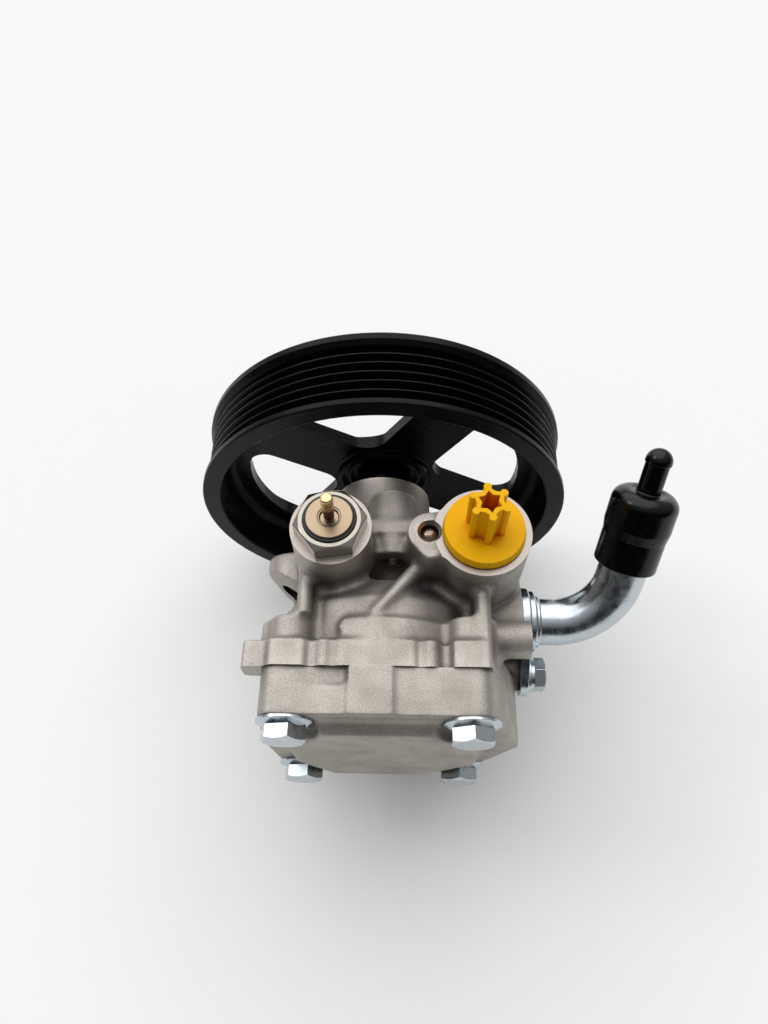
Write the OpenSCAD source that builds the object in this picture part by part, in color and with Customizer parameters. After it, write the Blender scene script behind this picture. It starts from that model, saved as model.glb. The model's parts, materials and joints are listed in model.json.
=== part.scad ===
// Vane type power steering pump with a ribbed belt pulley.
// X points right, Y points forward along the shaft, Z points up to the ports.
// The origin lies on the shaft axis in the middle of the belt track.

/* [Pulley] */
// Outer radius of the rim edges
pulley_r = 66; // [58:0.5:74]
// Number of belt grooves
groove_count = 6; // [4:1:7]
// Distance from groove to groove
groove_pitch = 3.56; // [2.6:0.02:3.8]
// Depth of a groove below the rib crests
groove_depth = 2.6; // [1.6:0.1:3]
// Drop from the rim edge to the rib crests
crest_drop = 1.3; // [0.5:0.1:2]
// Width of the plain rim edge towards the pump
near_edge_w = 2.8; // [2:0.1:4]
// Width of the plain rim edge at the front
far_edge_w = 4; // [2:0.1:6]
// Wall of the rim below the groove bottoms
rim_wall = 2.6; // [2:0.1:4]
// Rear face of the web, ahead of the belt middle
web_y = 2.5; // [0:0.1:4]
// Thickness of the web
web_t = 4.2; // [3:0.1:5]
// Number of windows in the web
window_count = 4; // [3:1:5]
// Radius of the outer edge of the windows
window_r = 50.5; // [46:0.5:52]
// Width of the spokes between the windows
spoke_w = 22; // [18:0.5:26]
// Rounding of the inner end of a window
window_tip_r = 8.5; // [5:0.5:10]
// Rounding of the outer corners of a window
window_corner_r = 6; // [3:0.5:8]
// Turn of the windows round the shaft
window_turn = 13; // [0:1:90]
// Radius of the hub ring on the web
hub_r = 17.5; // [16.5:0.1:19]
// Radius of the dished middle of the hub
hub_dish_r = 12.6; // [11.8:0.1:13.2]
// Length of the hub boss ahead of the web
hub_boss_len = 2.3; // [1:0.1:3]

/* [Shaft] */
// Radius of the bearing journal
journal_r = 8.5; // [8:0.1:9]
// Radius of the shaft behind the journal and in the hub
shaft_r = 7.5; // [7.2:0.1:7.9]
// Radius of the tail in the rear bush
tail_r = 6.5; // [5.8:0.1:6.9]
// Length of the tail in the rear bush
tail_len = 10; // [8:0.5:11]
// Number of spline teeth
spline_count = 12; // [8:1:16]

/* [Casting] */
// Outer radius of the nose
nose_r = 17.2; // [16:0.1:18]
// Front end of the nose, behind the belt middle
nose_y = -9; // [-11:0.1:-7]
// Rear joint face of the body, behind the belt middle
joint_y = -84.5; // [-87:0.5:-82]
// Outer radius of the barrel round the vane chamber
barrel_r = 35; // [34:0.1:36]
// Thickness of the rear flange of the body
flange_t = 8.2; // [6:0.1:10]
// Rise of the flange blocks above the barrel
flange_rise = 2; // [1:0.1:4]
// Circle of the cover bolts, outside the barrel
bolt_out = 4.26; // [3.5:0.02:6]
// Angle of the cover bolts above the side
bolt_angle = 46.75; // [45:0.05:48]
// Reach of the bolt bosses ahead of the flange
bolt_boss_len = 8.2; // [7:0.1:10]
// Thickness of the rear cover at its edge
cover_t = 14.1; // [13:0.1:16]
// Top corners of the cover, inside the barrel's side
cover_in = 1; // [0:0.1:2]
// Reach of the right side of the cover and the flange
bulge_x = 44.6; // [44:0.1:46]
// Height of the octagonal pad on the cover
pad_h = 4; // [2:0.1:6]
// Half height of the pad
pad_half_h = 27.6; // [26:0.1:29]
// Half width of the top and bottom edges of the pad
pad_half_w = 15.5; // [14:0.1:16]

/* [Vane chamber] */
// Wall of the barrel round the vane chamber
chamber_wall = 5; // [4.5:0.1:5.5]
// Width of the cam ring
cam_w = 14; // [11:0.5:15]
// Wall of the cam ring where it is thickest
cam_wall = 9.4; // [8.5:0.1:10]
// Shift of each half of the cam track from the shaft
cam_shift = 1.8; // [1:0.1:2.4]
// Thickness of the side plate
side_plate_t = 5.5; // [4.5:0.1:6.5]
// Number of vanes
vane_count = 10; // [6:1:11]
// Thickness of a vane
vane_t = 1.4; // [1:0.1:2]
// Radius at the feet of the vanes
vane_foot = 12.6; // [11.6:0.1:14.6]
// Room between the rotor and the narrowest part of the cam ring
rotor_room = 0.8; // [0.7:0.1:1.6]

/* [Switch boss] */
// Sideways place of the switch boss
switch_x = -14.6; // [-17:0.1:-14]
// Fore and aft place of both port bosses
port_y = -45; // [-46:0.1:-44]
// Radius of the switch boss
switch_boss_r = 12.4; // [11.8:0.1:13]
// Height of the switch boss rim
switch_top = 46.6; // [44:0.1:49]
// Width across the flats of the switch hexagon
switch_af = 19.4; // [18.5:0.1:21]
// Height of the switch hexagon
switch_hex_h = 5.2; // [4:0.1:7]
// Radius of the switch thread
switch_thread_r = 8; // [7.8:0.1:8.6]
// Length of the switch thread
switch_thread_len = 13; // [10:0.5:15]
// Radius of the insulator disc
insulator_r = 7.1; // [6.5:0.1:7.4]
// Radius of the terminal pin
terminal_r = 1.9; // [1.5:0.1:2.2]
// Reach of the terminal pin above the insulator
terminal_h = 11; // [8:0.5:14]
// Travel of the switch plunger
plunger_travel = 1.5; // [0.5:0.1:2]

/* [Outlet boss] */
// Sideways place of the outlet boss
outlet_x = 31.5; // [30.5:0.1:32.5]
// Radius of the outlet boss
outlet_boss_r = 14.6; // [13.5:0.1:15.2]
// Height of the outlet boss rim
outlet_top = 44.6; // [43:0.1:46]
// Radius of the outlet bore
outlet_bore_r = 7.5; // [7:0.1:8]
// Radius of the transport plug flange
plug_flange_r = 12.6; // [10:0.1:13.5]
// Thickness of the transport plug flange
plug_flange_t = 3.3; // [1.5:0.1:4]
// Height of the star shaped grip on the plug
plug_grip_h = 15; // [8:0.5:18]
// Outer radius of the grip at its ridges
plug_grip_r = 6.2; // [5.5:0.1:8]
// Number of ridges on the grip
plug_ridges = 6; // [5:1:8]
// Length of the valve spool
spool_len = 13; // [12:0.5:14]
// Travel of the valve spool
spool_travel = 5; // [3:0.5:6]

/* [Gallery eye] */
// Sideways place of the gallery eye
eye_x = 15.2; // [14.5:0.1:15.8]
// Outer radius of the gallery eye
eye_r = 6.8; // [6:0.1:7.5]
// Radius of the gallery hole
eye_hole_r = 2.85; // [2.2:0.05:3.2]

/* [Mounting holes] */
// Sideways place of the upper mounting boss
upper_x = 3.8; // [3:0.1:5]
// Height of the upper mounting boss
upper_z = 21.2; // [21:0.1:22]
// Radius of the upper mounting boss
upper_boss_r = 8.2; // [7:0.1:9]
// Radius of the upper mounting hole
upper_hole_r = 3.75; // [3:0.05:4.5]
// Rear face of the upper mounting boss, behind the belt middle
upper_rear = -44.8; // [-46:0.1:-43]
// Length of the upper mounting boss
upper_len = 23.4; // [21:0.1:25]
// Sideways place of the lug hole
lug_x = -30.5; // [-32:0.1:-30]
// Height of the lug hole
lug_z = 0.5; // [-2:0.1:3]
// Radius of the lug round its hole
lug_r = 9; // [8:0.1:10]
// Radius of the lug hole
lug_hole_r = 4.25; // [3.5:0.05:5]
// Thickness of the lug
lug_t = 10.5; // [7:0.1:11]

/* [Suction] */
// Fore and aft place of the suction bore
suction_y = -58.2; // [-59:0.1:-57.6]
// Height of the suction bore
suction_z = 5; // [4:0.1:6]
// Outer radius of the suction boss
suction_boss_r = 12.5; // [11.5:0.1:13]
// Seat of the suction plate, right of the shaft
seat_x = 46.2; // [45.6:0.1:47.5]
// Outer radius of the suction pipe
pipe_r = 7.85; // [7.2:0.05:8.2]
// Wall of the suction pipe
pipe_wall = 1.2; // [0.8:0.1:1.6]
// Bend radius of the suction pipe
bend_r = 21; // [18:0.5:26]
// Angle of the pipe bend
bend_angle = 80; // [60:1:100]
// Lean of the bend from upright towards the pulley
bend_lean = 37.7; // [20:0.5:55]
// Straight pipe from the plate to the bend
pipe_lead = 8.5; // [6:0.5:12]
// Straight pipe between the bend and the cap
pipe_bare = 5.2; // [2:0.1:9]
// Straight pipe under the cap
pipe_covered = 15; // [10:0.5:17]
// Thickness of the suction plate
plate_t = 3; // [2.5:0.1:4]
// Fore and aft distance from the pipe to the plate bolt
plate_bolt_dy = 15.8; // [15:0.1:18]
// Drop from the pipe to the plate bolt
plate_bolt_dz = 8; // [6:0.1:10]
// Radius of the plate bolt
plate_bolt_r = 3; // [2.5:0.1:3.5]
// Length of the cap over the pipe
cap_len = 25.5; // [22:0.1:28]
// Outer radius of the cap at its fat part
cap_r = 10.6; // [10.4:0.1:12]
// Wall of the cap skirt
cap_wall = 2.1; // [1.2:0.1:2.5]
// Length of the pull stem on the cap
cap_stem_len = 14.2; // [8:0.1:20]

/* [Clearances] */
// Radial running clearance of the shaft and valve
run_gap = 0.05; // [0.02:0.01:0.1]
// Gap between parts that seat in the castings
seat_gap = 0.05; // [0.02:0.01:0.1]
// Gap between the rotor and the plates beside it
side_gap = 0.2; // [0.05:0.05:0.3]
// Gap between pull-off caps and what they cover
cap_gap = 0.1; // [0.05:0.05:0.3]

/* [Hidden] */
$fn = 64;
over = 1;

// Pulley rim, measured along the shaft
track_half = groove_count * groove_pitch / 2;
rim_near = -track_half - near_edge_w;
rim_far = track_half + far_edge_w;
crest_r = pulley_r - crest_drop;
root_r = crest_r - groove_depth;
rim_in_r = root_r - rim_wall;
edge_chamfer = 0.9;
groove_flat = 0.5;
web_front = web_y + web_t;
web_blend = 4;
hub_ring_h = 2.4;
hub_ring_w = 1.9;
hub_step_h = 1.2;
hub_dish = 1.5;
hub_sleeve_r = 9.7;
hub_sleeve_len = 6.5;
hub_rear = web_y - hub_sleeve_len;
hub_front = web_front + hub_boss_len;
hub_boss_r = 14;
window_step = 360 / window_count;
window_side = 90 - window_step / 2;

// Shaft stations, from front to rear
chamber_r = barrel_r - chamber_wall;
cam_r = chamber_r - cam_wall;
rotor_r = cam_r - rotor_room;
vane_len = cam_r - vane_foot;
flange_top = barrel_r + flange_rise;
bolt_x = (barrel_r + bolt_out) * cos(bolt_angle);
bolt_z = (barrel_r + bolt_out) * sin(bolt_angle);
cover_half_w = barrel_r - cover_in;
shaft_proud = 0.8;
end_chamfer = 1;
puller_hole_r = 2.6;
puller_hole_len = 14;
shaft_front = hub_front + shaft_proud;
seal_t = 7;
seal_r = 13;
seal_inset = 1;
seal_y = nose_y - seal_inset;
seal_wall = 1.2;
seal_cup_share = 1.5;
seal_cup_r = journal_r + seal_cup_share * seal_wall;
seal_floor = 2;
seal_lip = 2.8;
dust_lip = 1;
spring_ring_wire = 0.6;
seal_back = 3;
bush_wall = 2;
bush_len = 18;
bush_y = seal_y - seal_t - seal_back;
journal_end = bush_y - bush_len - end_chamfer;
relief_r = journal_r + 1;
cam_y = joint_y + cam_w;
plate_y = cam_y + side_plate_t;
plate_play = 1;
chamber_y = plate_y + plate_play;
spline_h = 0.7;
spline_w = 1.5;
spline_r = shaft_r - spline_h;
vane_room = 1;
ring_t = 1.2;
ring_depth = 0.6;
ring_inset = 1.6;
ring_reach = 2;
ring_split = 2;
ring_y = joint_y + side_gap + ring_inset;
ring_pocket = ring_inset + ring_t;
ring_pocket_r = 11;

// Cover and its seal
cover_rear = joint_y - cover_t;
pad_rear = cover_rear - pad_h;
pad_left = 26;
pad_right = 31;
pad_slope = 3.2;
pad_side_share = 1 / 3;
pad_low = pad_half_h * pad_side_share;
pad_corners = [[-pad_half_w, pad_half_h], [-pad_left, pad_low], [-pad_left, -pad_low],
    [-pad_half_w, -pad_half_h], [pad_half_w, -pad_half_h], [pad_right, -pad_low],
    [pad_right, pad_low], [pad_half_w, pad_half_h]];
cover_round = 5;
cover_belly = 2.5;
crown_left = -8.3;
crown_right = 4.8;
crown_h = 1;
cover_top = flange_top - crown_h;
step_deep = 5.5;
step_drop = 1.3;
step_len = 20;
bolt_r = 4;
bolt_free_r = 4.5;
bolt_af = 12;
bolt_head_h = 4.2;
bolt_off = 0.6;
bolt_flange_r = 8.5;
bolt_flange_t = 2;
bolt_flange_edge = 0.7;
bolt_turn = 22;
bolt_turn_step = 8;
bolt_grip = 13;
bolt_pocket_r = 9.6;
bolt_boss_r = 6.8;
cover_seal_gap = 2.4;
cover_seal_r = chamber_r + cover_seal_gap;
cover_seal_wire = 0.9;
tail_bush_wall = 2;
bush_inset = 1;
dowel_r = 2.4;
dowel_z = (cam_r + chamber_r) / 2;
dowel_bite = 4;
kidney_in = 13.5;
kidney_out = 18.5;
kidney_angle = 52;
kidney_deep = 3;
seal_wire = 0.9;
seal_bite = 2 * seal_wire - (chamber_y - plate_y);
outer_seal_r = chamber_r - seal_wire;
inner_seal_r = kidney_out + 2 * seal_wire;
plate_bore_gap = 1;
plate_bore_r = shaft_r + plate_bore_gap;

// Flange blocks and ribs of the body
flange_front = joint_y + flange_t;
block_w = 11.8;
block_round = 1.6;
middle_left = -12.5;
middle_right = 12;
bump_r = 3;
bump_xs = [-15.6, 15.4];
barrel_front = -62;
dome_y = -46;
dome_r = 22;
shoulder_drop = 3;
shoulder_len = 4;
neck_len = 7;
rib_r = 2.3;
rib_sink = 0.8;
rib_top = flange_top - rib_sink;
rib_drop = 16;
left_rib_x = -22.4;
gallery_x = -1.7;
boss_front = flange_front + bolt_boss_len;
pad_arc_h = 1.6;
pad_arc_from = 50;
pad_arc_turn = 52.6;
finger_r = 2.9;
finger_turn = 54.2;
lug_back = 2.5;
lug_rear = port_y - lug_back;
lug_slant = 33;
lug_front = lug_rear + lug_t;
lug_rise = 3.5;
lug_web_h = 5;
drill_over = 3;
bar_t = 5;
bar_top = 30;
bar_front = -33;
tab_x = -39.8;
tab_z = 35;
tab_h = 8;
bulge_round = 5;
disc_ease = 0.01;
side_boss_r = 5.8;
spot_w = 1.4;
step_out = 2;
step_x = bolt_off - bolt_x - bolt_boss_r - step_out;
step_rise = 2;
side_boss_z = 25.2;
side_boss_y = -72;

// Feet of the bosses that stand on the body
switch_foot = -4;
outlet_foot = -8;
eye_foot = 8;
eye_floor = 22;
eye_chamfer = 1;
saddle_w = 24;
saddle_top = 16;

// Switch and its bore
hex_flat = 0.95;
hex_slope = 30;
hex_turn = 9;
switch_well = switch_top - switch_thread_len;
plunger_r = 4;
plunger_bore = 14;
plunger_len = 10;
plunger_nub = 2;
plunger_step = 1.6;
plunger_round = 0.5;
terminal_foot = switch_well + plunger_nub + plunger_travel + run_gap;
insulator_t = 3.2;
insulator_up = 1.4;
ring_wall = 0.9;
ring_drop = 0.7;
disc_edge = 0.4;
well_r = 3;
well_deep = 1;
terminal_neck = 0.6;
terminal_stem_r = terminal_r - terminal_neck;
neck_step = 2;
neck_w = 0.7;
terminal_room = 0.8;
switch_cup_r = 5.5;
switch_cup = 9;
coil_wire = 0.5;
coil_inset = 0.8;
coil_turns = 5;

// Outlet, flow valve and plug
plug_skirt = 8;
plug_turn = 36;
plug_wall = 1.2;
valve_seat_t = 4;
valve_seat_hole = 3;
valve_seat_deep = 12;
valve_seat_z = outlet_top - valve_seat_deep - valve_seat_t;
spool_r = outlet_bore_r - run_gap;
spool_top = valve_seat_z - seat_gap;
spool_wall = 2;
spool_crown = 4;
spring_room = 0.3;
spool_floor_gap = 0.5;
outlet_floor = spool_top - spool_len - spool_travel - spool_floor_gap;
spool_chamfer = 1;
spool_roof = spool_top - spool_crown;
spring_turns = 6;
spool_land = 3.5;
spool_waist = 1.2;
spring_wire = 0.8;
spring_r = spool_r - spool_wall - spring_wire - spring_room;
plug_edge = 0.6;
grip_wall = 1.5;
grip_root = 0.2;
grip_dip = 1.2;
ridge_r = 1.15;

// Suction pipe and its plate
spigot = 11;
suction_deep = 13;
passage_r = 4.5;
passage_turn = -135;
passage_len = 18;
plate_bolt_y = suction_y - plate_bolt_dy;
plate_bolt_z = suction_z - plate_bolt_dz;
plate_face = seat_x + plate_t;
plate_round = 11.2;
plate_tip_r = 7.2;
bead_r = pipe_r + 2.4;
bead_w = 2.2;
bead_step = 1.5;
plate_bolt_boss_r = 5.4;
plate_bolt_deep = 12;
plate_bolt_head = 3.6;
plate_bolt_af = 10;
flat_washer_t = 1;
flat_washer_r = 6.2;
spring_washer_t = 1.3;
spring_washer_r = 5.2;
washer_split = 0.8;
bolt_room = 0.3;
suction_wire = 0.9;
suction_ring_r = pipe_r + suction_wire + seat_gap;
pipe_bend_x = plate_face + pipe_lead;
pipe_tail = pipe_bare + pipe_covered;
pipe_draw = 0.02;
pipe_lap = 0.5;
cap_skirt = 10.5;
cap_flare = 3.4;
cap_skirt_r = pipe_r + cap_gap + cap_wall;
cap_round = 4.2;
cap_dish_r = 5.6;
cap_dish = 0.5;
cap_stem_r = 3.8;
cap_tip_r = 4.2;
cap_tip_lip = 0.6;
cap_arc_step = 15;
cap_tip_h = 4.8;

// Outward normal of the straight edge that touches disc a and then disc b, anticlockwise
function edge_normal(a, b) =
    let (d = [b[0] - a[0], b[1] - a[1]], u = d / norm(d), s = (a[2] - b[2]) / norm(d))
    [u[1], -u[0]] * sqrt(1 - s * s) + u * s;

// Outline of a band stretched round discs given anticlockwise as [x, y, radius]; the discs stay a hair
// inside the tangent corners, so every crossing of edge and arc is a clean one
module stretched(discs) {
    n = len(discs);
    corners = [for (i = [0 : n - 1]) each [
        [discs[i][0], discs[i][1]] + discs[i][2] * edge_normal(discs[(i + n - 1) % n], discs[i]),
        [discs[i][0], discs[i][1]] + discs[i][2] * edge_normal(discs[i], discs[(i + 1) % n])]];
    polygon(corners);
    for (d = discs)
        translate([d[0], d[1]])
            circle(r = d[2] - disc_ease);
}

// Outline in X and Z, drawn out along Y between two stations
module slab_y(front, rear) {
    translate([0, front, 0])
        rotate([90, 0, 0])
            linear_extrude(front - rear)
                children();
}

// Profile in radius and Y, turned about the shaft
module turned() {
    rotate([-90, 0, 0])
        rotate_extrude()
            children();
}

module rod_x(y, z, r, from, to) {
    translate([from, y, z])
        rotate([0, 90, 0])
            cylinder(r = r, h = to - from);
}

module rod_y(x, z, r, from, to) {
    translate([x, from, z])
        rotate([-90, 0, 0])
            cylinder(r = r, h = to - from);
}

module rod_z(x, y, r, from, to) {
    translate([x, y, from])
        cylinder(r = r, h = to - from);
}

// Ring of round wire about the shaft
module wire_ring(r, wire, y) {
    turned()
        translate([r, y])
            circle(r = wire, $fn = 24);
}

// Round wire wound into an open coil that stands on z = 0
module coil(r, wire, height, turns) {
    sides = 8;
    steps = turns * 16;
    rise = height - 2 * wire;
    ring_points = [for (i = [0 : steps]) let (t = 360 * turns * i / steps) for (j = [0 : sides - 1])
        let (a = 360 * j / sides, q = r + wire * cos(a))
        [q * cos(t), q * sin(t), wire + rise * i / steps + wire * sin(a)]];
    walls = [for (i = [0 : steps - 1]) for (j = [0 : sides - 1])
        [i * sides + j, (i + 1) * sides + j, (i + 1) * sides + (j + 1) % sides, i * sides + (j + 1) % sides]];
    first = [for (j = [0 : sides - 1]) j];
    last = [for (j = [sides - 1 : -1 : 0]) steps * sides + j];
    polyhedron(ring_points, concat(walls, [first], [last]), convexity = 10);
}

module hexagon(af) {
    circle(d = af / cos(30), $fn = 6);
}

// Hexagon head along +Z with its top corners turned off
module hex_head(af, h) {
    top_r = hex_flat * af / 2;
    corner_r = af / sqrt(3) + over;
    intersection() {
        linear_extrude(h)
            hexagon(af);
        rotate_extrude()
            polygon([[0, 0], [corner_r, 0], [corner_r, h - (corner_r - top_r) * tan(hex_slope)],
                [top_r, h], [0, h]]);
    }
}

module at_cover_bolts() {
    for (sx = [-1, 1], sz = [-1, 1])
        translate([bolt_off + sx * bolt_x, 0, sz * bolt_z]) {
            $bolt_turn = bolt_turn + sx * bolt_turn_step;
            children();
        }
}

// Curved slot about the shaft, centred on each end of the X axis
module kidneys(front, rear, grow = 0) {
    for (side = [0, 180])
        rotate([-90, side - kidney_angle / 2, 0])
            rotate_extrude(angle = kidney_angle)
                translate([kidney_in - grow, rear])
                    square([kidney_out - kidney_in + 2 * grow, front - rear]);
}

// Rounded window between two spokes, pointing along +X
module window_outline() {
    lean = window_side;
    tip = (spoke_w / 2 + window_tip_r) / cos(lean);
    far = window_r - window_corner_r;
    offset_y = spoke_w / 2 + window_corner_r;
    turn = window_step / 2 - asin(offset_y / far);
    corner = far * [cos(turn), sin(turn)];
    stretched([[tip, 0, window_tip_r], [corner[0], -corner[1], window_corner_r],
        [corner[0], corner[1], window_corner_r]]);
    intersection() {
        circle(r = window_r);
        polygon([[corner[0], -corner[1]], 2 * [corner[0], -corner[1]], 2 * corner, corner]);
    }
}

module pulley() {
    grooves = [for (i = [0 : groove_count - 1]) let (y = -track_half + (i + 0.5) * groove_pitch,
        half = groove_pitch / 2 - groove_flat / 2) each [[crest_r, y - half], [root_r, y - groove_flat],
        [root_r, y + groove_flat], [crest_r, y + half]]];
    rim = concat([[rim_in_r, web_y - web_blend], [rim_in_r, rim_near + edge_chamfer],
        [rim_in_r + edge_chamfer, rim_near], [pulley_r - edge_chamfer, rim_near],
        [pulley_r, rim_near + edge_chamfer], [pulley_r, -track_half - crest_drop / 2]], grooves,
        [[pulley_r, track_half + crest_drop], [pulley_r, rim_far - edge_chamfer],
        [pulley_r - edge_chamfer, rim_far], [rim_in_r + edge_chamfer, rim_far],
        [rim_in_r, rim_far - edge_chamfer], [rim_in_r, web_front + web_blend]]);
    step_r = hub_r - 2 * hub_ring_w;
    web = [[rim_in_r - web_blend, web_front], [hub_r + web_blend, web_front], [hub_boss_r, hub_front],
        [shaft_r + seat_gap, hub_front], [shaft_r + seat_gap, hub_rear], [hub_sleeve_r, hub_rear],
        [hub_sleeve_r, web_y + hub_dish], [hub_dish_r - hub_dish / 2, web_y + hub_dish],
        [hub_dish_r, web_y - hub_step_h], [step_r, web_y - hub_step_h], [step_r, web_y],
        [hub_r - hub_ring_w, web_y], [hub_r - hub_ring_w, web_y - hub_ring_h],
        [hub_r - hub_ring_w / 3, web_y - hub_ring_h], [hub_r, web_y], [rim_in_r - web_blend, web_y]];
    color("#0d0e10")
        difference() {
            turned()
                polygon(concat(rim, web));
            for (k = [0 : window_count - 1])
                rotate([0, -window_turn - k * window_step, 0])
                    slab_y(web_front + over, web_y - over)
                        window_outline();
        }
}

module spline(y_front, y_rear, grow) {
    slab_y(y_front, y_rear) {
        circle(r = spline_r + grow);
        for (k = [0 : spline_count - 1])
            rotate(k * 360 / spline_count)
                translate([0, -spline_w / 2 - grow])
                    square([shaft_r + grow, spline_w + 2 * grow]);
    }
}

module drive_shaft() {
    tail_end = joint_y - tail_len;
    stations = [[0, shaft_front], [shaft_r - end_chamfer, shaft_front], [shaft_r, shaft_front - end_chamfer],
        [shaft_r, hub_rear - seat_gap], [journal_r, hub_rear - seat_gap], [journal_r, journal_end],
        [shaft_r, journal_end - end_chamfer], [shaft_r, cam_y + end_chamfer], [spline_r, cam_y],
        [spline_r, ring_y + ring_t],
        [spline_r - ring_depth, ring_y + ring_t], [spline_r - ring_depth, ring_y], [spline_r, ring_y],
        [tail_r, joint_y + side_gap], [tail_r, tail_end + end_chamfer],
        [tail_r - end_chamfer, tail_end], [0, tail_end]];
    color("#8d9196")
        difference() {
            union() {
                turned()
                    polygon(stations);
                spline(cam_y + end_chamfer, ring_y + ring_t + end_chamfer, 0);
            }
            rod_y(0, 0, puller_hole_r, shaft_front - puller_hole_len, shaft_front + over);
        }
}

module rotor() {
    front = cam_y - side_gap;
    rear = joint_y + side_gap;
    slot_r = cam_r - side_gap - vane_len - vane_room;
    color("#9a9ea3")
        difference() {
            slab_y(front, rear)
                difference() {
                    circle(r = rotor_r);
                    for (k = [0 : vane_count - 1])
                        rotate(k * 360 / vane_count)
                            translate([slot_r, 0]) {
                                translate([0, -vane_t / 2 - run_gap])
                                    square([rotor_r, vane_t + 2 * run_gap]);
                                circle(r = vane_t);
                            }
                }
            spline(front + over, rear - over, seat_gap);
            rod_y(0, 0, ring_pocket_r, rear - over, rear + ring_pocket);
        }
}

module vanes() {
    tip_r = cam_r - side_gap;
    color("#b4b7bb")
        for (k = [0 : vane_count - 1])
            rotate([0, -k * 360 / vane_count, 0])
                slab_y(cam_y - side_gap, joint_y + side_gap)
                    translate([tip_r - vane_len, -vane_t / 2])
                        square([vane_len, vane_t]);
}

module rotor_ring() {
    color("#5d6166")
        difference() {
            turned()
                translate([spline_r - ring_depth + run_gap, ring_y + run_gap])
                    square([ring_depth + ring_reach, ring_t - 2 * run_gap]);
            translate([-ring_split / 2, ring_y - over, 0])
                cube([ring_split, ring_t + 2 * over, ring_pocket_r]);
        }
}

module cam_ring() {
    color("#777b80")
        slab_y(cam_y - seat_gap, joint_y + seat_gap)
            difference() {
                circle(r = chamber_r - seat_gap);
                stretched([[-cam_shift, 0, cam_r], [cam_shift, 0, cam_r]]);
                for (s = [-1, 1])
                    translate([0, s * dowel_z])
                        circle(r = dowel_r + seat_gap);
            }
}

module side_plate() {
    out_r = chamber_r - seat_gap;
    groove_y = plate_y - seal_bite;
    color("#85898e")
        difference() {
            turned()
                polygon([[plate_bore_r, cam_y], [out_r, cam_y], [out_r, groove_y],
                    [outer_seal_r - seal_wire, groove_y], [outer_seal_r - seal_wire, plate_y],
                    [inner_seal_r + seal_wire, plate_y], [inner_seal_r + seal_wire, groove_y],
                    [inner_seal_r - seal_wire, groove_y], [inner_seal_r - seal_wire, plate_y],
                    [plate_bore_r, plate_y]]);
            kidneys(plate_y + over, cam_y - over);
            for (s = [-1, 1])
                rod_y(0, s * dowel_z, dowel_r + seat_gap, cam_y - over, plate_y + over);
        }
}

module outer_plate_seal() {
    color("#1c1c1e")
        wire_ring(outer_seal_r, seal_wire - run_gap, chamber_y - seal_wire);
}

module inner_plate_seal() {
    color("#1c1c1e")
        wire_ring(inner_seal_r, seal_wire - run_gap, chamber_y - seal_wire);
}

module dowel_pins() {
    color("#a9adb2")
        for (s = [-1, 1])
            rod_y(0, s * dowel_z, dowel_r, joint_y - dowel_bite, chamber_y + dowel_bite);
}

module front_bush() {
    color("#a8843e")
        turned()
            translate([journal_r + run_gap, bush_y - bush_len])
                square([bush_wall - run_gap - seat_gap, bush_len]);
}

module rear_bush() {
    color("#a8843e")
        turned()
            translate([tail_r + run_gap, joint_y - tail_len])
                square([tail_bush_wall - run_gap - seat_gap, tail_len - bush_inset]);
}

module shaft_seal() {
    rear = seal_y - seal_t;
    color("#2a2320")
        turned()
            polygon([[seal_r - seat_gap, rear], [seal_r - seat_gap, seal_y], [journal_r + seal_wall, seal_y],
                [journal_r + seal_wall / 2, seal_y - dust_lip], [journal_r + seal_wall, seal_y - seal_floor],
                [journal_r + run_gap, rear + seal_lip], [journal_r + seal_wall / 2, rear + seal_wall],
                [seal_cup_r, rear + seal_wall], [seal_cup_r, seal_y - seal_floor],
                [seal_r - seal_wall, seal_y - seal_floor], [seal_r - seal_wall, rear]]);
}

module seal_spring() {
    color("#b9bdc2")
        wire_ring(seal_cup_r + spring_ring_wire, spring_ring_wire, seal_y - seal_t + seal_lip);
}

// Plan of the gallery eye with its tail towards the slanting rib
module eye_outline() {
    stretched([[eye_x, port_y, eye_r], [eye_x, port_y - eye_r, rib_r],
        [outlet_x - outlet_boss_r / 2, port_y, eye_r]]);
    translate([eye_x, port_y])
        circle(r = eye_r);
}

// Outline of the rear flange in X and Z
module flange_outline() {
    edge = flange_top - block_round;
    half = block_w / 2 - block_round;
    circle(r = barrel_r);
    for (sx = [-1, 1], sz = [-1, 1])
        translate([bolt_off, 0])
            scale([sx, sz])
                stretched([[bolt_x - half, 0, block_round], [bolt_x + half, 0, block_round],
                    [bolt_x + half, edge, block_round], [bolt_x - half, edge, block_round]]);
    stretched([[middle_left + block_round, edge, block_round], [middle_left + block_round, 0, block_round],
        [middle_right - block_round, 0, block_round], [middle_right - block_round, edge, block_round]]);
    for (x = bump_xs)
        translate([x, flange_top - bump_r])
            circle(r = bump_r);
    stretched([[tab_x + block_round, tab_z - block_round, block_round],
        [tab_x + block_round, tab_z - tab_h, block_round], [-barrel_r / 2, tab_z - tab_h, block_round],
        [-barrel_r / 2, tab_z - block_round, block_round]]);
    stretched([[0, 0, bulge_round], [bolt_x, -bolt_z, bulge_round], [bulge_x - bulge_round, 0, bulge_round],
        [bolt_x + half, edge, block_round]]);
}

// Turned core of the body: barrel, dome and nose
module body_core() {
    turned()
        polygon([[0, joint_y], [barrel_r, joint_y], [barrel_r, barrel_front],
            [barrel_r - shoulder_drop, barrel_front + shoulder_len], [dome_r, dome_y],
            [nose_r, dome_y + neck_len], [nose_r, nose_y - edge_chamfer], [nose_r - edge_chamfer, nose_y],
            [0, nose_y]]);
}

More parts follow.
